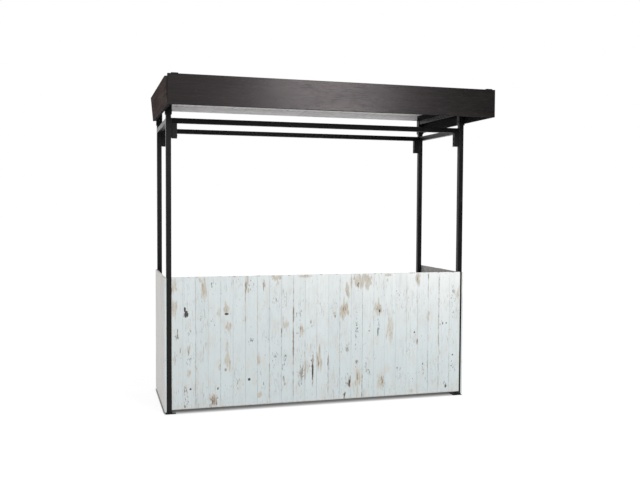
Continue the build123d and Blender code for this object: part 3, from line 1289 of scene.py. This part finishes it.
@dataclass
class Boarding:
    """Upright boards that close one side of the stall below counter height.

    Args:
        node: the solid that they stand for.
        name: name of the finished piece.
        across: direction of the row.
        outward: sign of the direction in which the painted faces look.
        boards: number of boards.
        columns: columns of faces across a board's outer face.
        rows: rows of faces up it.
        seed: start of the random draws.
        spots: worn places.
        stains: seams with grime and painted shade in them and a stain beside them.
        cut: what is cut off the first board.
        gap: gap between boards.
        edge: width of the softened edges.
        sink: how far a board may stand back.
        uneven: how far a board may end short.
        smooth_angle: faces that meet at less than this are shaded as one.
        end_wear_reach: how far the chipped paint reaches from the ends.
        side_wear_reach: how far it reaches from the outer sides.
    """

    node: str
    name: str
    across: Axis
    outward: float
    boards: int
    columns: int
    rows: int
    seed: int
    spots: tuple[WearSpot, ...]
    stains: tuple[SeamStain, ...] = ()
    cut: float = 0.0
    gap: float = 0.3 * MM
    edge: float = 0.6 * MM
    sink: float = 0.5 * MM
    uneven: float = 1.5 * MM
    smooth_angle: float = math.radians(25)
    end_wear_reach: float = 9 * MM
    side_wear_reach: float = 0.0
    low: Vector = field(init=False)
    high: Vector = field(init=False)

    def __post_init__(self) -> None:
        """Reads the panel's box from the frame."""
        self.low, self.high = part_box(self.node)

    @property
    def start(self) -> float:
        """Where the first board would start if it were whole."""
        return self.low[self.across.value] - self.cut

    @property
    def pitch(self) -> float:
        """Distance from board to board."""
        return (self.high[self.across.value] - self.start) / self.boards

    @property
    def layout(self) -> tuple[float, float, float, float, float]:
        """Start, pitch and length of the row, then its bottom and top."""
        return self.start, self.pitch, self.pitch * self.boards, self.low.z, self.high.z

    @property
    def depth(self) -> Axis:
        """Direction of the boards' thickness."""
        return Axis.Y if self.across is Axis.X else Axis.X

    @property
    def height(self) -> float:
        """Height of the boards."""
        return self.high.z - self.low.z

    def _board(self) -> Object:
        """Models one board about the origin: a fine outer face, a plain back and softened edges.

        Returns:
            The board, standing on the origin with its outer face towards -Y.
        """
        width = self.pitch - self.gap
        thickness = self.high[self.depth.value] - self.low[self.depth.value]
        Bench.clear()
        bpy.ops.mesh.primitive_grid_add(
            x_subdivisions=self.columns,
            y_subdivisions=self.rows,
            size=1.0,
            location=(0, -thickness / 2, self.height / 2),
            rotation=(QUARTER_TURN, 0, 0),
        )
        bpy.ops.transform.resize(value=(width, 1, self.height))
        board = Bench.settle(bpy.context.active_object, "board")
        Bench.edit(board)
        bpy.ops.mesh.select_all(action="SELECT")
        bpy.ops.mesh.extrude_region_move(TRANSFORM_OT_translate={"value": (0, thickness, 0)})
        bpy.ops.mesh.dissolve_limited(angle_limit=FLAT_ANGLE)
        bpy.ops.mesh.select_all(action="SELECT")
        bpy.ops.mesh.normals_make_consistent(inside=False)
        bpy.ops.mesh.select_all(action="DESELECT")
        bpy.ops.mesh.select_mode(type="EDGE")
        bpy.ops.mesh.edges_select_sharp(sharpness=SHARP_ANGLE)
        bpy.ops.mesh.bevel(offset=self.edge, segments=2, affect="EDGES")
        bpy.ops.mesh.select_mode(type="VERT")
        Bench.leave()
        bpy.ops.object.shade_smooth_by_angle(angle=self.smooth_angle)
        return board

    def build(self, painted: Material, bare: Material, ends: Material) -> Object:
        """Models the boards, joins them and paints their wear.

        Args:
            painted: finish of the outer face and the edges.
            bare: finish of the inner face.
            ends: finish of the edges that look to the front of the stall.

        Returns:
            The finished boarding.
        """
        draw = random.Random(self.seed)
        pattern = self._board()
        turn = Matrix.Identity(4)
        if self.across is Axis.Y:
            turn = Matrix.Rotation(QUARTER_TURN * self.outward, 4, "Z")
        copies = []
        for number in range(self.boards):
            middle = (self.low + self.high) / 2
            width = self.pitch - (self.cut if number == 0 else 0)
            middle[self.across.value] = self.start + (number + 1) * self.pitch - width / 2
            middle[self.depth.value] -= self.outward * draw.uniform(0, self.sink)
            middle.z = self.low.z
            squat = Matrix.Scale(1 - draw.uniform(0, self.uneven) / self.height, 4, Axis.Z.unit)
            narrow = Matrix.Scale((width - self.gap) / (self.pitch - self.gap), 4, Axis.X.unit)
            place = Matrix.Translation(middle) @ turn @ squat @ narrow
            copies.append(Bench.copy(pattern, f"board_{number}", place))
        Bench.discard(pattern)
        boarding = Bench.join(self.name, copies)
        self._paint_wear(boarding)
        self._sort_faces(boarding)
        return Bench.dress(boarding, [painted, bare, ends], Slot.BOARDING, self.node)

    def _sort_faces(self, boarding: Object) -> None:
        """Gives the second material to faces that look inward and the third to those that look to the front.

        Args:
            boarding: the joined boards.
        """
        for face in boarding.data.polygons:
            inner = face.normal[self.depth.value] * self.outward < -FACING
            face.material_index = 1 if inner else 2 * int(face.normal.y < -FACING)

    def _paint_wear(self, boarding: Object) -> None:
        """Writes the wear and seam attributes at every point of the boards.

        Args:
            boarding: the joined boards.
        """
        mesh = boarding.data
        points = np.empty(len(mesh.vertices) * 3)
        mesh.vertices.foreach_get("co", points)
        points = points.reshape(-1, 3)
        inside = 0.001
        count = (points[:, self.across.value] - self.start) / self.pitch
        count = np.clip(count, inside, self.boards - inside)
        height = (points[:, 2] - self.low.z) / self.height
        wear = np.zeros((len(points), len(Wear)))
        draw = random.Random(self.seed)
        for spot in self.spots:
            aside = (count - (spot.board - 1 + spot.across)) * self.pitch / MM
            above = (height - spot.height) * self.height / MM
            aside -= spot.slant * above
            value = np.zeros(len(points))
            for streak in spot.streaks(draw):
                value = np.maximum(value, streak.cover(aside, above))
            if spot.across < 1:
                value *= np.floor(count) == spot.board - 1
            channel = spot.kind.value
            wear[:, channel] = np.maximum(wear[:, channel], value * spot.strength)
        self._wear_ends(points, count, wear)
        layer = mesh.attributes.new("wear", "FLOAT_COLOR", "POINT")
        layer.data.foreach_set("color", wear.ravel())
        seams = mesh.attributes.new("seam_stain_and_shade", "FLOAT", "POINT")
        seams.data.foreach_set("value", self._seam_strength(count, height))

    def _wear_ends(self, points: np.ndarray, count: np.ndarray, wear: np.ndarray) -> None:
        """Adds chipped paint along the ends of the boards, and down the outer sides where those are worn.

        Args:
            points: coordinates of the points.
            count: place of each point along the row, in boards.
            wear: wear values, changed in place.
        """
        draw = np.random.default_rng(self.seed)
        chips = 4
        chip = (count * chips).astype(int)
        top = draw.uniform(-0.6, 1.0, self.boards * chips)[chip]
        bottom = draw.uniform(0.5, 1.0, self.boards * chips)[chip]
        axis = self.across.value
        aside = np.minimum(points[:, axis] - self.low[axis], self.high[axis] - points[:, axis])
        worn = [
            (Wear.BROWN, self.high.z - points[:, 2], self.end_wear_reach, top),
            (Wear.TAN, points[:, 2] - self.low.z, self.end_wear_reach, bottom),
        ]
        if self.side_wear_reach:
            worn.append((Wear.TAN, aside, self.side_wear_reach, bottom))
        for kind, distance, reach, strength in worn:
            near = np.clip(1 - distance / reach, 0, 1)
            wear[:, kind.value] = np.maximum(wear[:, kind.value], near * strength)

    def _seam_strength(self, count: np.ndarray, height: np.ndarray) -> np.ndarray:
        """Strength of the grime, painted shade and stain in the nearest seam.

        Args:
            count: place of each point along the row, in boards.
            height: height of each point as a share.

        Returns:
            Strength at each point.
        """
        faintest, faint, sharpness = 0.02, 0.2, 20
        draw = np.random.default_rng(self.seed + 1)
        nearest = np.rint(count).astype(int)
        strength = draw.uniform(faintest, faint, self.boards + 1)
        strength[[0, self.boards]] = 0
        strength = strength[nearest]
        for stain in self.stains:
            above = np.clip((height - stain.low) * sharpness, 0, 1)
            below = np.clip((stain.high - height) * sharpness, 0, 1)
            strength = np.maximum(strength, (nearest == stain.board) * (above * below) * stain.strength)
        return strength


@dataclass
class Roof:
    """Dark fascias and bearers around a deck of pale boards."""

    deck_boards: int = 15
    gap: float = 1.2 * MM
    deck_edge: float = 1.6 * MM
    fascia_edge: float = 1.8 * MM
    bearer_edge: float = 2.2 * MM
    batten_pitch_share: float = 1.6
    batten_slant: float = 1.4
    batten_seam_depth: float = 0.4

    def build(self, effects: SharedEffects) -> None:
        """Models and dresses the whole roof.

        Args:
            effects: the shared shader groups.
        """
        satin = DarkStain("satin_stain_front", Axis.X).material(effects)
        dark = DarkStain(
            "matt_stain", Axis.Y, srgb(26, 25, 25), srgb(38, 36, 35), specular=0.03, roughness=0.6
        ).material(effects)
        # painted light: a lighter brown copy of the dark stain for the left fascia's outer face and front
        # end, standing in for light from the left and a grazing sheen
        painted_light = DarkStain(
            "lit_stain_left", Axis.Y, srgb(68, 60, 58), srgb(88, 79, 76), specular=0.0, roughness=0.6
        ).material(effects)
        self._fascias(satin, dark, painted_light)
        self._deck(effects)

    def _fascias(self, satin: Material, dark: Material, painted_light: Material) -> None:
        """Makes the fascias and the bearers behind them.

        Args:
            satin: stain of the front fascia's face.
            dark: stain of the edges and of the inner boards.
            painted_light: stain of the left fascia's outer face and front end.
        """
        fronts = {
            "front_fascia": (satin, [-Axis.Y.unit], self.fascia_edge),
            # the left fascia's outer face and front end take the lighter copy of the stain, which is painted
            # light
            "left_fascia": (painted_light, [-Axis.X.unit, -Axis.Y.unit], self.fascia_edge),
            "right_fascia": (dark, [Axis.X.unit], self.fascia_edge),
            "left_roof_bearer": (dark, [-Axis.X.unit], self.bearer_edge),
            "right_roof_bearer": (dark, [Axis.X.unit], self.bearer_edge),
        }
        for node, (finish, shown, edge) in fronts.items():
            piece = Bench.copy_of_node(node, f"{node}_board")
            Bench.round_edges(piece, edge)
            for face in piece.data.polygons:
                face.material_index = int(max(face.normal.dot(side) for side in shown) < FACING)
            Bench.dress(piece, [finish, dark], Slot.STAINED, node)

    def _deck(self, effects: SharedEffects) -> None:
        """Makes the deck boards and the batten along the back.

        Args:
            effects: the shared shader groups.
        """
        low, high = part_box("roof_deck")
        pitch = (high.x - low.x) / self.deck_boards
        tones = srgb(243, 242, 242), srgb(221, 219, 219), srgb(112, 108, 105), srgb(246, 246, 246)
        finish = BareBoard("pale_roof_boards", Axis.Y, Axis.X, low.x, pitch, *tones).material(effects)
        first = Vector((low.x + self.gap / 2, low.y, low.z))
        pattern = Bench.block("deck_board", first, Vector((low.x + pitch - self.gap / 2, high.y, high.z)))
        Bench.round_edges(pattern, self.deck_edge)
        places = [Matrix.Translation((number * pitch, 0, 0)) for number in range(self.deck_boards)]
        boards = [Bench.copy(pattern, f"deck_board_{i}", place) for i, place in enumerate(places)]
        Bench.discard(pattern)
        Bench.dress(Bench.join("roof_deck_boards", boards), [finish], Slot.ROOF, "roof_deck")
        batten_finish = BareBoard(
            "pale_batten", Axis.X, Axis.X, low.x, pitch * self.batten_pitch_share, *tones,
            slant=self.batten_slant, seam_depth=self.batten_seam_depth,
        ).material(effects)
        batten = Bench.copy_of_node("back_roof_batten", "back_batten_board")
        Bench.round_edges(batten, self.bearer_edge)
        Bench.dress(batten, [batten_finish], Slot.ROOF, "back_roof_batten")


@dataclass
class SteelFrame:
    """Square tube frame with its welds, bolts and end plugs."""

    welded_beams: tuple[str, str] = ("left_tie_beam", "right_tie_beam")
    bolt_radius: float = 7 * MM
    bolt_height: float = 1.6 * MM
    bolt_drops: tuple[float, float] = (46 * MM, 82 * MM)
    set_screw_height: float = 26 * MM
    screw_radius: float = 4.5 * MM
    screw_height: float = 2.6 * MM
    head_sides: int = 18
    head_smooth_angle: float = math.radians(35)
    head_step_shares: tuple[tuple[float, float], ...] = ((0.28, 0.16), (0.3, 0.04), (0.1, -0.28))
    bead_radius: float = 3 * MM
    bead_sides: int = 8
    bead_ripples: int = 8
    bead_waist_share: float = 0.82
    foot_weld: float = 6 * MM
    plug_thickness: float = 3 * MM
    small_edge: float = 1 * MM
    plate_edge: float = 1.2 * MM
    socket_edge: float = 2.5 * MM
    edge_steps: int = 3

    def build(self, effects: SharedEffects) -> None:
        """Dresses the tubes and adds what joins them.

        Args:
            effects: the shared shader groups.
        """
        coat = PowderCoat("black_powder_coat").material(effects)
        satin = PowderCoat(
            "satin_black_coat", srgb(14, 14, 15), srgb(21, 21, 22), specular=0.25, roughness=0.3
        ).material(effects)
        dull = PowderCoat("dull_black_coat", specular=0.07, roughness=0.36).material(effects)
        coats = {"front_tie_beam": dull} | {beam: satin for beam in self.welded_beams}
        blackened = Fastener("blackened_bolt", srgb(34, 34, 35), srgb(52, 50, 48)).material(effects)
        zinc = Fastener("zinc_screw", srgb(176, 177, 176), srgb(138, 136, 131)).material(effects)
        for name in solids("post", "beam", "rail", "bracket"):
            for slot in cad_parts[name].material_slots:
                slot.material = coats.get(name, coat)
            log.info("%s: kept, coated", name)
        self._plates(coat)
        self._welds(PowderCoat("matt_weld_coat", specular=0.1, roughness=0.5).material(effects))
        self._plugs(coat)
        self._bolts(blackened)
        self._board_screws(zinc)

    def _plates(self, coat: Material) -> None:
        """Softens the feet, the roof sockets and the fascia hangers.

        Args:
            coat: their finish.
        """
        for name in solids("foot", "hanger", "socket"):
            piece = Bench.copy_of_node(name, f"{name}_steel")
            edge = self.socket_edge if name.endswith("socket") else self.plate_edge
            Bench.round_edges(piece, edge, self.edge_steps)
            Bench.dress(piece, [coat], Slot.STEEL, name)

    def _bead(self, length: float) -> Object:
        """Models one weld bead along X with ripples.

        Args:
            length: length of the bead.

        Returns:
            The bead, centred on the origin.
        """
        Bench.clear()
        bpy.ops.mesh.primitive_cylinder_add(
            vertices=self.bead_sides, radius=self.bead_radius, depth=length, rotation=(0, QUARTER_TURN, 0)
        )
        bead = Bench.settle(bpy.context.active_object, "weld_bead")
        mesh = Bench.edit(bead)
        for edge in mesh.edges:
            run = edge.verts[1].co - edge.verts[0].co
            edge.select_set(abs(run.x) > length / 2)
        bpy.ops.mesh.subdivide(number_cuts=2 * self.bead_ripples - 1)
        bpy.ops.mesh.select_all(action="DESELECT")
        mesh = bmesh.from_edit_mesh(bead.data)
        step = length / (2 * self.bead_ripples)
        for point in mesh.verts:
            point.select_set(round((point.co.x + length / 2) / step) % 2 == 0)
        bpy.ops.transform.resize(value=(1, self.bead_waist_share, self.bead_waist_share))
        Bench.leave()
        bpy.ops.object.shade_smooth()
        return bead

    def _welds(self, coat: Material) -> None:
        """Adds weld beads above and below each welded rail end, and a fillet round each post's foot.

        Args:
            coat: finish of the welds.
        """
        low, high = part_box("left_tie_beam")
        pattern = self._bead(high.x - low.x)
        beads = []
        for name in solids("rail", *self.welded_beams):
            low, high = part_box(name)
            run = Axis.X if name.startswith("front") else Axis.Y
            turn = Matrix.Rotation(QUARTER_TURN, 4, "Z") if run is Axis.X else Matrix.Identity(4)
            for end in (low, high):
                for level in (low.z, high.z):
                    place = (low + high) / 2
                    place[run.value] = end[run.value]
                    place.z = level
                    beads.append(Bench.copy(pattern, "bead", Matrix.Translation(place) @ turn))
        Bench.discard(pattern)
        Bench.dress(Bench.join("rail_welds", beads), [coat], Slot.STEEL)
        fillets = [self._foot_fillet(name) for name in solids("post")]
        Bench.dress(Bench.join("foot_welds", fillets), [coat], Slot.STEEL)

    def _foot_fillet(self, post: str) -> Object:
        """Models the sloping weld round the foot of a post.

        Args:
            post: name of the post.

        Returns:
            The fillet.
        """
        low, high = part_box(post)
        margin = Vector((self.foot_weld, self.foot_weld, 0))
        top = Vector((high.x, high.y, low.z + self.foot_weld))
        fillet = Bench.block("foot_fillet", low - margin, top + margin)
        Bench.select_top(Bench.edit(fillet))
        shrink = (high.x - low.x) / (high.x - low.x + 2 * self.foot_weld)
        bpy.ops.transform.resize(value=(shrink, shrink, 1))
        Bench.leave()
        Bench.round_edges(fillet, self.small_edge)
        return fillet

    def _plugs(self, coat: Material) -> None:
        """Closes the open lower end of each bracket's tube.

        Args:
            coat: finish of the plugs.
        """
        plugs = []
        for name in solids("bracket"):
            low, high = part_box(name)
            tube = high.y - low.y
            near = low.x if "right" in name else high.x - tube
            bottom = Vector((near, low.y, low.z - self.plug_thickness))
            plug = Bench.block("plug", bottom, Vector((near + tube, high.y, low.z)))
            Bench.round_edges(plug, self.small_edge, self.edge_steps)
            plugs.append(plug)
        Bench.dress(Bench.join("bracket_plugs", plugs), [coat], Slot.STEEL)

    def _domed_screw(self, name: str, radius: float, height: float) -> Object:
        """Models a domed screw head on the origin along Z, with a socket pressed in.

        Args:
            name: name of the pattern.
            radius: radius of the head.
            height: height of its rim.

        Returns:
            The screw head.
        """
        Bench.clear()
        bpy.ops.mesh.primitive_cylinder_add(
            vertices=self.head_sides, radius=radius, depth=height, location=(0, 0, height / 2)
        )
        screw = Bench.settle(bpy.context.active_object, name)
        Bench.select_top(Bench.edit(screw))
        for inset_share, rise_share in self.head_step_shares:
            bpy.ops.mesh.inset(thickness=inset_share * radius, depth=rise_share * radius)
        Bench.leave()
        bpy.ops.object.shade_smooth_by_angle(angle=self.head_smooth_angle)
        return screw

    def _bolts(self, metal: Material) -> None:
        """Adds the bolts through the brackets and the clamp screws of the roof sockets.

        Args:
            metal: finish of the heads.
        """
        pattern = self._domed_screw("bolt_head", self.bolt_radius, self.bolt_height)
        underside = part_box("left_tie_beam")[0].z
        bolts = []
        for name in solids("bracket", "socket"):
            low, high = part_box(name)
            inward = -1 if "right" in name else 1
            turn = Matrix.Rotation(QUARTER_TURN * inward, 4, "Y")
            face = low.x if inward < 0 else high.x
            levels = [low.z + self.set_screw_height]
            if name.endswith("bracket"):
                levels = [underside - drop for drop in self.bolt_drops]
            for level in levels:
                place = Matrix.Translation((face, (low.y + high.y) / 2, level))
                bolts.append(Bench.copy(pattern, "bolt", place @ turn))
        Bench.discard(pattern)
        Bench.dress(Bench.join("frame_bolts", bolts), [metal], Slot.STEEL)

    def _board_screws(self, metal: Material) -> None:
        """Adds the screws that hold the boards, on the inner faces of the rails.

        Args:
            metal: finish of the screws.
        """
        pattern = self._domed_screw("board_screw", self.screw_radius, self.screw_height)
        screws = []
        sides = (
            ("front", Axis.X, FRONT_BOARDS, 1.0),
            ("left", Axis.Y, SIDE_BOARDS, 1.0),
            ("right", Axis.Y, SIDE_BOARDS, -1.0),
        )
        for side, run, boards, inward in sides:
            panel_low, panel_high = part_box(f"{side}_panel")
            pitch = (panel_high[run.value] - panel_low[run.value]) / boards
            depth = Axis.Y if run is Axis.X else Axis.X
            turn_axis, sign = ("X", -1) if depth is Axis.Y else ("Y", 1)
            turn = Matrix.Rotation(QUARTER_TURN * inward * sign, 4, turn_axis)
            for rail in ("counter_rail", "bottom_rail"):
                low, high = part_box(f"{side}_{rail}")
                for number in range(boards):
                    place = (low + high) / 2
                    place[run.value] = panel_low[run.value] + (number + 0.5) * pitch
                    place[depth.value] = high[depth.value] if inward > 0 else low[depth.value]
                    if low[run.value] < place[run.value] < high[run.value]:
                        screws.append(Bench.copy(pattern, "screw", Matrix.Translation(place) @ turn))
        Bench.discard(pattern)
        Bench.dress(Bench.join("board_screws", screws), [metal], Slot.STEEL)


@dataclass
class Studio:
    """White floor and surroundings, one soft key light, and the camera."""

    camera_place: tuple[float, float, float] = (-1.5597, -5.5398, 1.417)
    yaw: float = 16.165
    pitch: float = -2.398
    roll: float = -0.322
    lens: float = 43.894
    sensor: float = 36.0
    floor_side: float = 160.0
    floor_colour: Colour = (0.9, 0.9, 0.9, 1.0)
    # the camera sees the floor darker than the light it bounces, which deepens the shadow round the stall:
    # painted shade
    seen_floor_colour: Colour = (0.35, 0.35, 0.36, 1.0)
    glow: float = 0.75
    glow_inset: tuple[float, float] = (0.0, 0.1)
    glow_reach: tuple[float, float] = (0.008, 0.118)
    glow_fade: float = 2.2
    sky: float = 0.78
    key_place: tuple[float, float, float] = (1.42, -5.6, 2.9)
    key_target: tuple[float, float, float] = (0.1, -0.3, 1.2)
    key_size: tuple[float, float] = (1.5, 2.0)
    key_watts: float = 98.0
    screen_start: tuple[float, float] = (2.4, -5.5)
    screen_end: tuple[float, float] = (7.5, -2.5)
    screen_height: float = 4.5
    screen_colour: Colour = (0.12, 0.12, 0.12, 1.0)

    def build(self) -> None:
        """Sets up camera, light, floor and surroundings."""
        self._camera()
        self._key()
        self._screen()
        self._floor()
        self._world()
        bpy.context.scene.view_settings.view_transform = "Standard"

    def _camera(self) -> None:
        """Places the camera where the view was taken from."""
        yaw, pitch, roll = (math.radians(angle) for angle in (self.yaw, self.pitch, self.roll))
        ahead = Vector((math.sin(yaw) * math.cos(pitch), math.cos(yaw) * math.cos(pitch), math.sin(pitch)))
        right = Vector((math.cos(yaw), -math.sin(yaw), 0))
        down = -right.cross(ahead)
        level = math.cos(roll) * right + math.sin(roll) * down
        plumb = -math.sin(roll) * right + math.cos(roll) * down
        data = bpy.data.cameras.new("camera")
        data.sensor_width = self.sensor
        data.sensor_fit = "HORIZONTAL"
        data.lens = self.lens
        camera = bpy.data.objects.new("camera", data)
        turn = Matrix((level, -plumb, -ahead)).transposed().to_4x4()
        camera.matrix_world = Matrix.Translation(self.camera_place) @ turn
        bpy.context.scene.collection.objects.link(camera)
        bpy.context.scene.camera = camera

    def _key(self) -> None:
        """Adds the soft light beside the camera."""
        data = bpy.data.lights.new("key", "AREA")
        data.shape = "RECTANGLE"
        data.size, data.size_y = self.key_size
        data.energy = self.key_watts
        key = bpy.data.objects.new("key", data)
        aim = Vector(self.key_target) - Vector(self.key_place)
        turn = aim.to_track_quat("-Z", "Y").to_matrix().to_4x4()
        key.matrix_world = Matrix.Translation(self.key_place) @ turn
        bpy.context.scene.collection.objects.link(key)

    def _screen(self) -> None:
        """Stands a dark screen to the right of the camera, which only the reflections show."""
        start, end = Vector((*self.screen_start, 0)), Vector((*self.screen_end, 0))
        run = end - start
        Bench.clear()
        bpy.ops.mesh.primitive_plane_add(size=1.0, rotation=(QUARTER_TURN, 0, 0))
        bpy.ops.transform.resize(value=(run.length, 1, self.screen_height))
        screen = bpy.context.active_object
        turn = Matrix.Rotation(math.atan2(run.y, run.x), 4, "Z")
        middle = (start + end) / 2 + Axis.Z.unit * self.screen_height / 2
        screen.matrix_world = Matrix.Translation(middle) @ turn @ screen.matrix_world
        Bench.settle(screen, "dark_screen")
        material, graph, shader = start_material("dark_screen")
        graph.feed(shader.inputs["Base Color"], self.screen_colour)
        screen.data.materials.append(material)
        screen.visible_camera = False
        screen.visible_diffuse = False
        screen.visible_shadow = False

    @staticmethod
    def _seen(graph: Graph) -> NodeSocket:
        """Tells rays that show the stall's surroundings from those that light it.

        Args:
            graph: the graph of the floor or the world.

        Returns:
            One for rays from the camera, a reflection or a transmission, else nought.
        """
        path = graph.add("LightPath").outputs
        bounced = graph.sum("MAXIMUM", path["Is Glossy Ray"], path["Is Transmission Ray"])
        return graph.sum("MAXIMUM", path["Is Camera Ray"], bounced)

    def _floor(self) -> None:
        """Adds the floor, which glows to white away from the stall and keeps its shadow; near the boarding
        the glow fades out over a set reach and the camera sees the floor darker than the light it bounces, so
        the band round the stall is painted shadow laid over the real shading.
        """
        Bench.clear()
        bpy.ops.mesh.primitive_plane_add(size=self.floor_side)
        floor = Bench.settle(bpy.context.active_object, "floor")
        material = bpy.data.materials.new("floor")
        material.use_nodes = True
        graph = Graph(material.node_tree)
        low, high = (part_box(f"{side}_panel")[end] for end, side in enumerate(("front", "right")))
        low.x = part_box("left_panel")[0].x
        middle, half = (low + high) / 2, (high - low) / 2 - Vector((*self.glow_inset, 0))
        offset = graph.vector("SUBTRACT", graph.position(), (middle.x, middle.y, 0))
        beyond = graph.vector("SUBTRACT", graph.vector("ABSOLUTE", offset), (half.x, half.y, 0))
        outside = graph.vector("MAXIMUM", beyond)
        shares = graph.vector("DIVIDE", outside, (*self.glow_reach, 1))
        away = graph.add("VectorMath", {0: shares}, operation="LENGTH").outputs["Value"]
        # painted shadow: the glow fades to nothing over a set reach from the boarding, which sets how wide
        # and dark the shadow band round the stall looks
        painted_light = graph.sum("POWER", graph.sum("MINIMUM", away, 1.0), self.glow_fade)
        glow = graph.times(painted_light, self.glow)
        seen = self._seen(graph)
        light = graph.add("Emission", {"Strength": graph.times(glow, seen)})
        matt = graph.add("BsdfDiffuse", {"Color": graph.mix(seen, self.floor_colour, self.seen_floor_colour)})
        both = graph.add("AddShader", {0: matt.outputs[0], 1: light.outputs[0]})
        graph.add("OutputMaterial", {"Surface": both.outputs[0]})
        floor.data.materials.append(material)

    def _world(self) -> None:
        """Surrounds the stall with soft white light that is seen as plain white."""
        world = bpy.data.worlds.new("studio")
        bpy.context.scene.world = world
        world.use_nodes = True
        graph = Graph(world.node_tree)
        strength = graph.step(self._seen(graph), 0, 1, self.sky, 1.0)
        sky = graph.add("Background", {"Color": (1, 1, 1, 1), "Strength": strength})
        graph.add("OutputWorld", {"Surface": sky.outputs[0]})


def build_boarding(effects: SharedEffects) -> None:
    """Models the three boarded sides.

    Args:
        effects: the shared shader groups.
    """
    side_spots = 10
    front = Boarding(
        "front_panel", "front_boarding", Axis.X, -1.0, FRONT_BOARDS, columns=16, rows=128, seed=11,
        spots=FRONT_SPOTS, stains=FRONT_SEAMS, cut=12 * MM, side_wear_reach=4 * MM,
    )
    left, right = (
        Boarding(
            f"{side}_panel", f"{side}_boarding", Axis.Y, outward, SIDE_BOARDS, columns=12, rows=96, seed=seed,
            spots=scattered_spots(SIDE_BOARDS, side_spots, spot_seed),
        )
        for side, outward, seed, spot_seed in (("left", -1.0, 23, 5), ("right", 1.0, 37, 8))
    )
    front_paint = Whitewash("whitewash_front", Axis.X, *front.layout).material(effects)
    side_paint = Whitewash(
        "whitewash_sides", Axis.Y, *left.layout,
        # the sides' paint in painted shade, then in painted light
        dull=srgb(220, 218, 216), lit_paint=srgb(226, 222, 219), fleck_share=0.3,
    ).material(effects)
    front_bare = BareBoard("bare_boards_front", Axis.Z, Axis.X, front.start, front.pitch).material(effects)
    side_bare = BareBoard("bare_boards_sides", Axis.Z, Axis.Y, left.start, left.pitch).material(effects)
    front.build(front_paint, front_bare, front_paint)
    left.build(side_paint, side_bare, front_paint)
    right.build(side_paint, side_bare, front_paint)


def main() -> None:
    """Builds the stall's looks, one sub-assembly after the other."""
    logging.basicConfig(level=logging.INFO, format="%(name)s: %(message)s")
    effects = SharedEffects()
    SteelFrame().build(effects)
    build_boarding(effects)
    Roof().build(effects)
    Studio().build()


if __name__ == "__main__":
    main()
